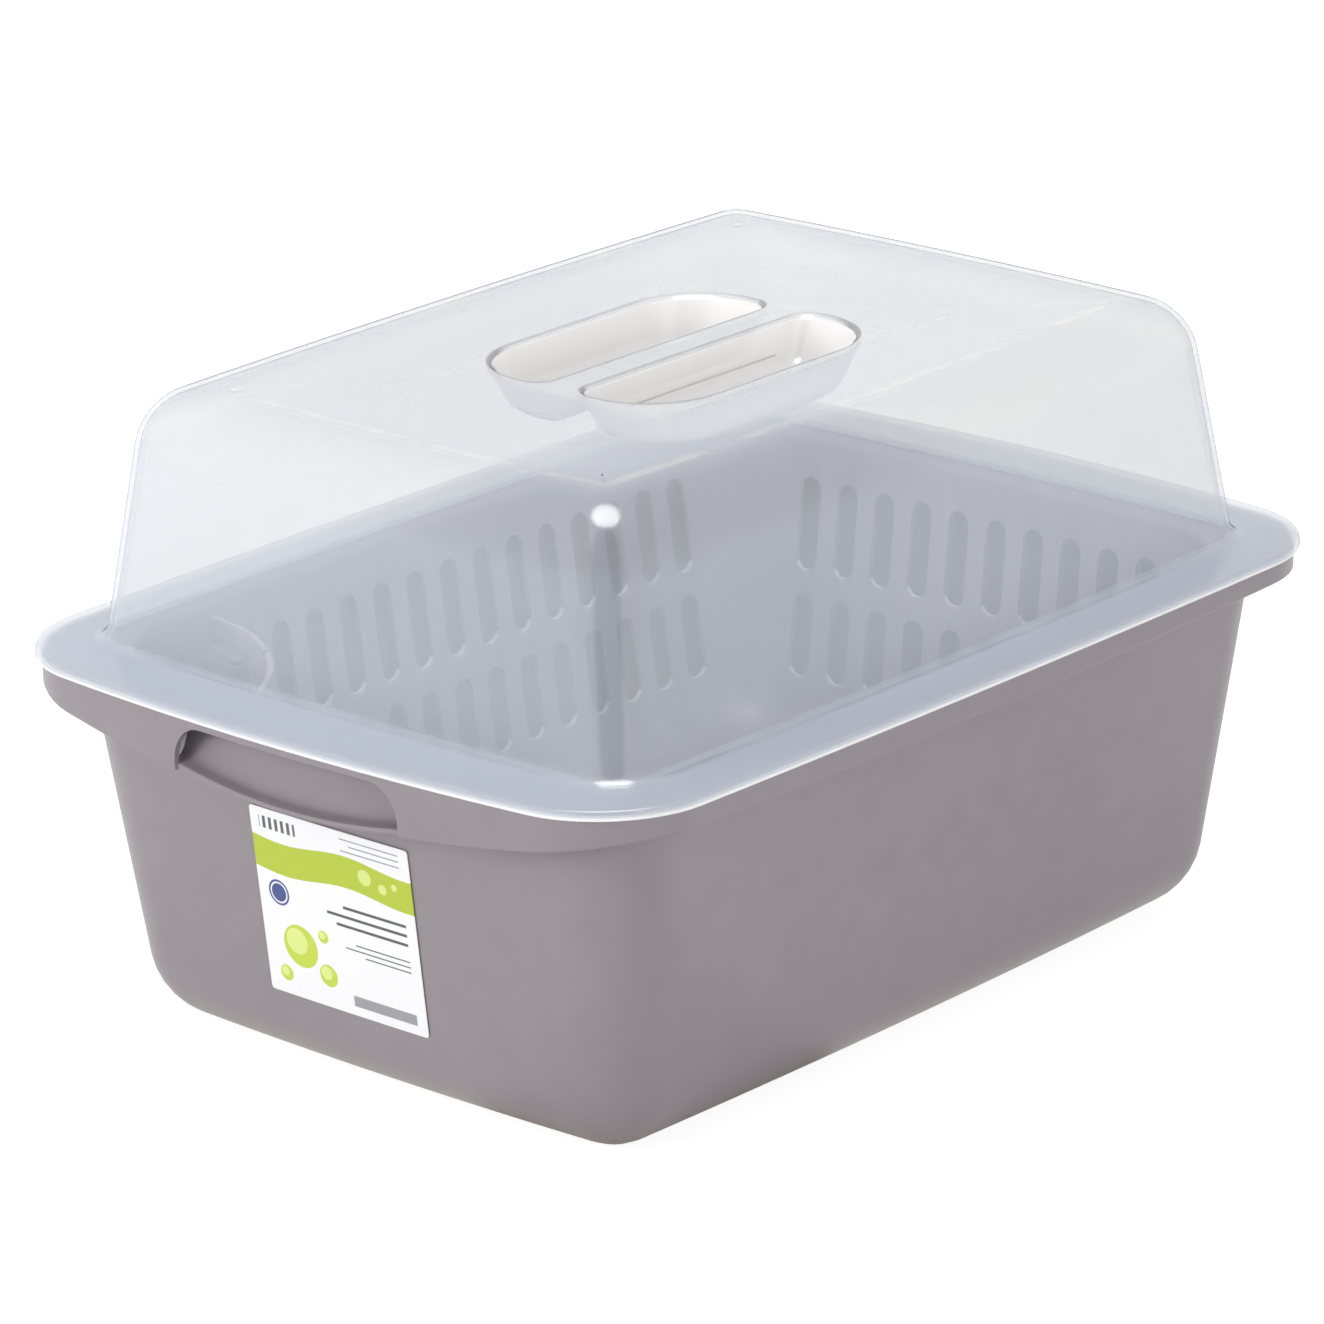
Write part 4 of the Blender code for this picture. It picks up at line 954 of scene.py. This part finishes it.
def milky_polypropylene():
    """See-through polypropylene, milkier where it is seen slantwise and in its pockets."""
    material, shade = new_material("milky_polypropylene")
    place, across, along, height = own_place(shade)
    slant = shade.node("LayerWeight", {}, {"Blend": 0.5}, output="Facing")
    haze = noise(shade, place, 22, detail=3)
    flow = noise(shade, place, 55, detail=3)
    relief = shade.node("Bump", {}, {"Strength": 0.12, "Distance": 0.0004,
                                     "Height": flow + haze * 2})

    def layered(share, under, over):
        return shade.node("MixShader", {}, {0: share, 1: under, 2: over})

    def milk(tone):
        front = shade.node("BsdfDiffuse", {}, {"Color": colour(tone), "Normal": relief})
        through = shade.node("BsdfTranslucent", {}, {"Color": colour(tone), "Normal": relief})
        return layered(0.15, front, through)

    def between(value, low, high, ease_in, ease_out):
        return value.rise(low, low + ease_in) * (1 - value.rise(high, high + ease_out))

    # Painted light and shade: the pockets' cups are painted whiter, with a painted dark line
    # under their rims. A painted shade line marks the ledge on the bar's wall, and the lip and
    # the dished top's crest, with the studs' tops, are painted white as painted highlights.
    pockets = ((1 - across.math("ABSOLUTE").rise(POCKET_FAR, POCKET_FAR + 0.0006))
               * (1 - along.math("ABSOLUTE").rise(POCKET_END, POCKET_END + 0.0015)))
    cups = pockets * between(height, POCKET_TOP - 0.022, POCKET_TOP - 0.0016, 0.003, 0.0008)
    line = (pockets * between(height, POCKET_TOP - 0.0016, POCKET_TOP - 0.0003, 0.0003, 0.00025)
            * slant.rise(0.30, 0.55))
    ledge_shade_line = (between(across, 0.0040, 0.0120, 0.0005, 0.0010)
             * between(along, -0.0370, 0.0410, 0.0020, 0.0020)
             * between(height, 0.2160, 0.2167, 0.0002, 0.0002))
    flange = 1 - height.rise(FLANGE_TOP + 0.0004, FLANGE_TOP + 0.0030)
    lip = 1 - height.rise(FLANGE_TOP - 0.0028, FLANGE_TOP - 0.0020)
    crest_highlight = height.rise(HOOD_TOP - 0.00012, HOOD_TOP - 0.00003) * haze.rise(0.40, 0.62)
    # Painted shade: silhouettes seen edge-on get the dark milk, denser milk and less sheen.
    edge = slant.rise(0.80, 0.96)
    # Painted light: the walls are milkier, and so lighter, above their foot; darker towards the
    # foot.
    painted_light_upper_wall = between(height, 0.125, 0.203, 0.040, 0.009)

    clarity = 0.842 - painted_light_upper_wall * 0.03 - (haze - 0.5) * 0.02
    shown = (clarity.math("POWER", 1 / (1 - slant * 0.75))
             * (1 - cups * 0.50) * (1 - line * 0.60) * (1 - lip * 0.60)
             * (1 - crest_highlight * 0.16) * (1 - flange * 0.14) * (1 - edge * 0.70))
    white = cups.math("MAXIMUM", lip + crest_highlight)
    dark = (edge + ledge_shade_line * 0.6).math("MAXIMUM", line)
    milks = layered(dark, layered(white, milk(BLUISH_MILK), milk(PAINTED_LIGHT_MILK)),
                    milk(SHADED_MILK))
    clear = shade.node("BsdfTransparent", {}, {"Color": colour(CLEAR_TINT)})
    gloss = shade.node("BsdfGlossy", {}, {"Color": (1, 1, 1, 1), "Roughness": 0.16,
                                          "Normal": relief})
    sheen = (0.060 + slant.math("POWER", 5) * 0.35) * (1 - edge * 0.8)
    show(material, layered(sheen, layered(shown, milks, clear), gloss))
    return material


hood = hood_shell()
cup_forms = bmesh.new()
hollow_forms = bmesh.new()
for side in (-1, 1):
    pocket_form(cup_forms, side, HOOD_WALL)
    pocket_form(hollow_forms, side, 0)
shape_with(hood, top_studs(), "UNION", "top_studs")
shape_with(hood, cup_forms, "UNION", "pocket_cups")
shape_with(hood, hollow_forms, "DIFFERENCE", "pocket_hollows")
hood.data.materials.append(milky_polypropylene())
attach(hood, "hood")
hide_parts("hood")


# Studio: a pale floor under white screens, a low key lamp from the left, a weaker fill
# from the right, a little light from behind and above, and one lamp that is only seen
# mirrored. The screens leave a dark gap at the side from which the photograph is taken.

BACKDROP = 1.3
SKY_LEVEL = 0.46
FLOOR_TONE = (0.91, 0.91, 0.91)


def seen_rays(shade):
    """1 on rays that see, mirror or pass on the studio, and 1 on the mirrored alone."""
    camera_ray = shade.node("LightPath", {}, {}, output="Is Camera Ray")
    glossy_ray = shade.node("LightPath", {}, {}, output="Is Glossy Ray")
    passing_ray = shade.node("LightPath", {}, {}, output="Is Transmission Ray")
    return (camera_ray + glossy_ray + passing_ray).math("MINIMUM", 1.0), glossy_ray


def screen_gap(shade, direction):
    """1 in the dark gap between the studio's screens."""
    level = shade.node("VectorMath", {"operation": "MULTIPLY"}, {0: direction, 1: (1, 1, 0)})
    level = shade.node("VectorMath", {"operation": "NORMALIZE"}, {0: level})
    towards_gap = (math.sin(view_turn), -math.cos(view_turn), 0)
    return shade.node("VectorMath", {"operation": "DOT_PRODUCT"},
                      {0: level, 1: towards_gap}, output="Value").rise(0.86, 0.93)


def studio_floor():
    """A wide floor that keeps the drainer's shadow and fades to the white behind it."""
    bm = bmesh.new()
    bmesh.ops.create_grid(bm, x_segments=2, y_segments=2, size=6)
    floor = make_piece("studio_floor", bm)
    material, shade = new_material("pale_floor")
    place = own_place(shade)[0]
    distance = shade.node("VectorMath", {"operation": "LENGTH"}, {0: place}, output="Value")
    matt = shade.node("BsdfDiffuse", {}, {"Color": colour(FLOOR_TONE)})
    white = shade.node("Emission", {}, {"Color": (1, 1, 1, 1), "Strength": BACKDROP})
    seen, mirrored = seen_rays(shade)
    gap = mirrored * screen_gap(shade, place)
    fade = seen * (0.68 + distance.rise(0.18, 0.60) * 0.32) * (1 - gap * 0.9)
    show(material, shade.node("MixShader", {}, {0: fade, 1: matt, 2: white}))
    floor.data.materials.append(material)


def soft_light(name, place, aim_height, width, watts, mirrored=False):
    """One round lamp aimed at the middle at a height; a mirrored one only makes glints."""
    lamp = bpy.data.lights.new(name, "AREA")
    lamp.shape = "DISK"
    lamp.size = width
    lamp.energy = watts
    holder = bpy.data.objects.new(name, lamp)
    holder.location = place
    aim = Vector((0, 0, aim_height)) - Vector(place)
    holder.rotation_euler = aim.to_track_quat("-Z", "Y").to_euler()
    holder.visible_glossy = mirrored
    holder.visible_diffuse = not mirrored
    bpy.context.scene.collection.objects.link(holder)


def studio_world():
    """Soft daylight all round, shown as plain white where it is seen or mirrored."""
    world = bpy.data.worlds.new("studio_world")
    world.use_nodes = True
    world.node_tree.nodes.clear()
    shade = Shade(world.node_tree)
    seen, mirrored = seen_rays(shade)
    direction = shade.node("TexCoord", {}, {}, output="Generated")
    gap = mirrored * screen_gap(shade, direction)
    level = SKY_LEVEL + seen * (BACKDROP - SKY_LEVEL) * (1 - gap)
    light = shade.node("Background", {}, {"Color": (1, 1, 1, 1), "Strength": level})
    output = world.node_tree.nodes.new("ShaderNodeOutputWorld")
    world.node_tree.links.new(light.socket, output.inputs["Surface"])
    bpy.context.scene.world = world


studio_floor()
studio_world()
soft_light("low_key", (-0.7, -2.0, 0.75), aim_height=0.1, width=1.0, watts=25.5)
soft_light("low_fill", (2.1, -0.6, 0.75), aim_height=0.1, width=1.0, watts=17)
soft_light("back_fill", (-1.0, 2.0, 1.0), aim_height=0.1, width=1.0, watts=6.5)
soft_light("overhead_soft_box", (0, 0, 1.6), aim_height=0.1, width=1.2, watts=5)
soft_light("overhead_glint", (0.15, -0.15, 1.6), aim_height=0.2, width=1.0, watts=15,
           mirrored=True)
bpy.context.scene.view_settings.view_transform = "Standard"
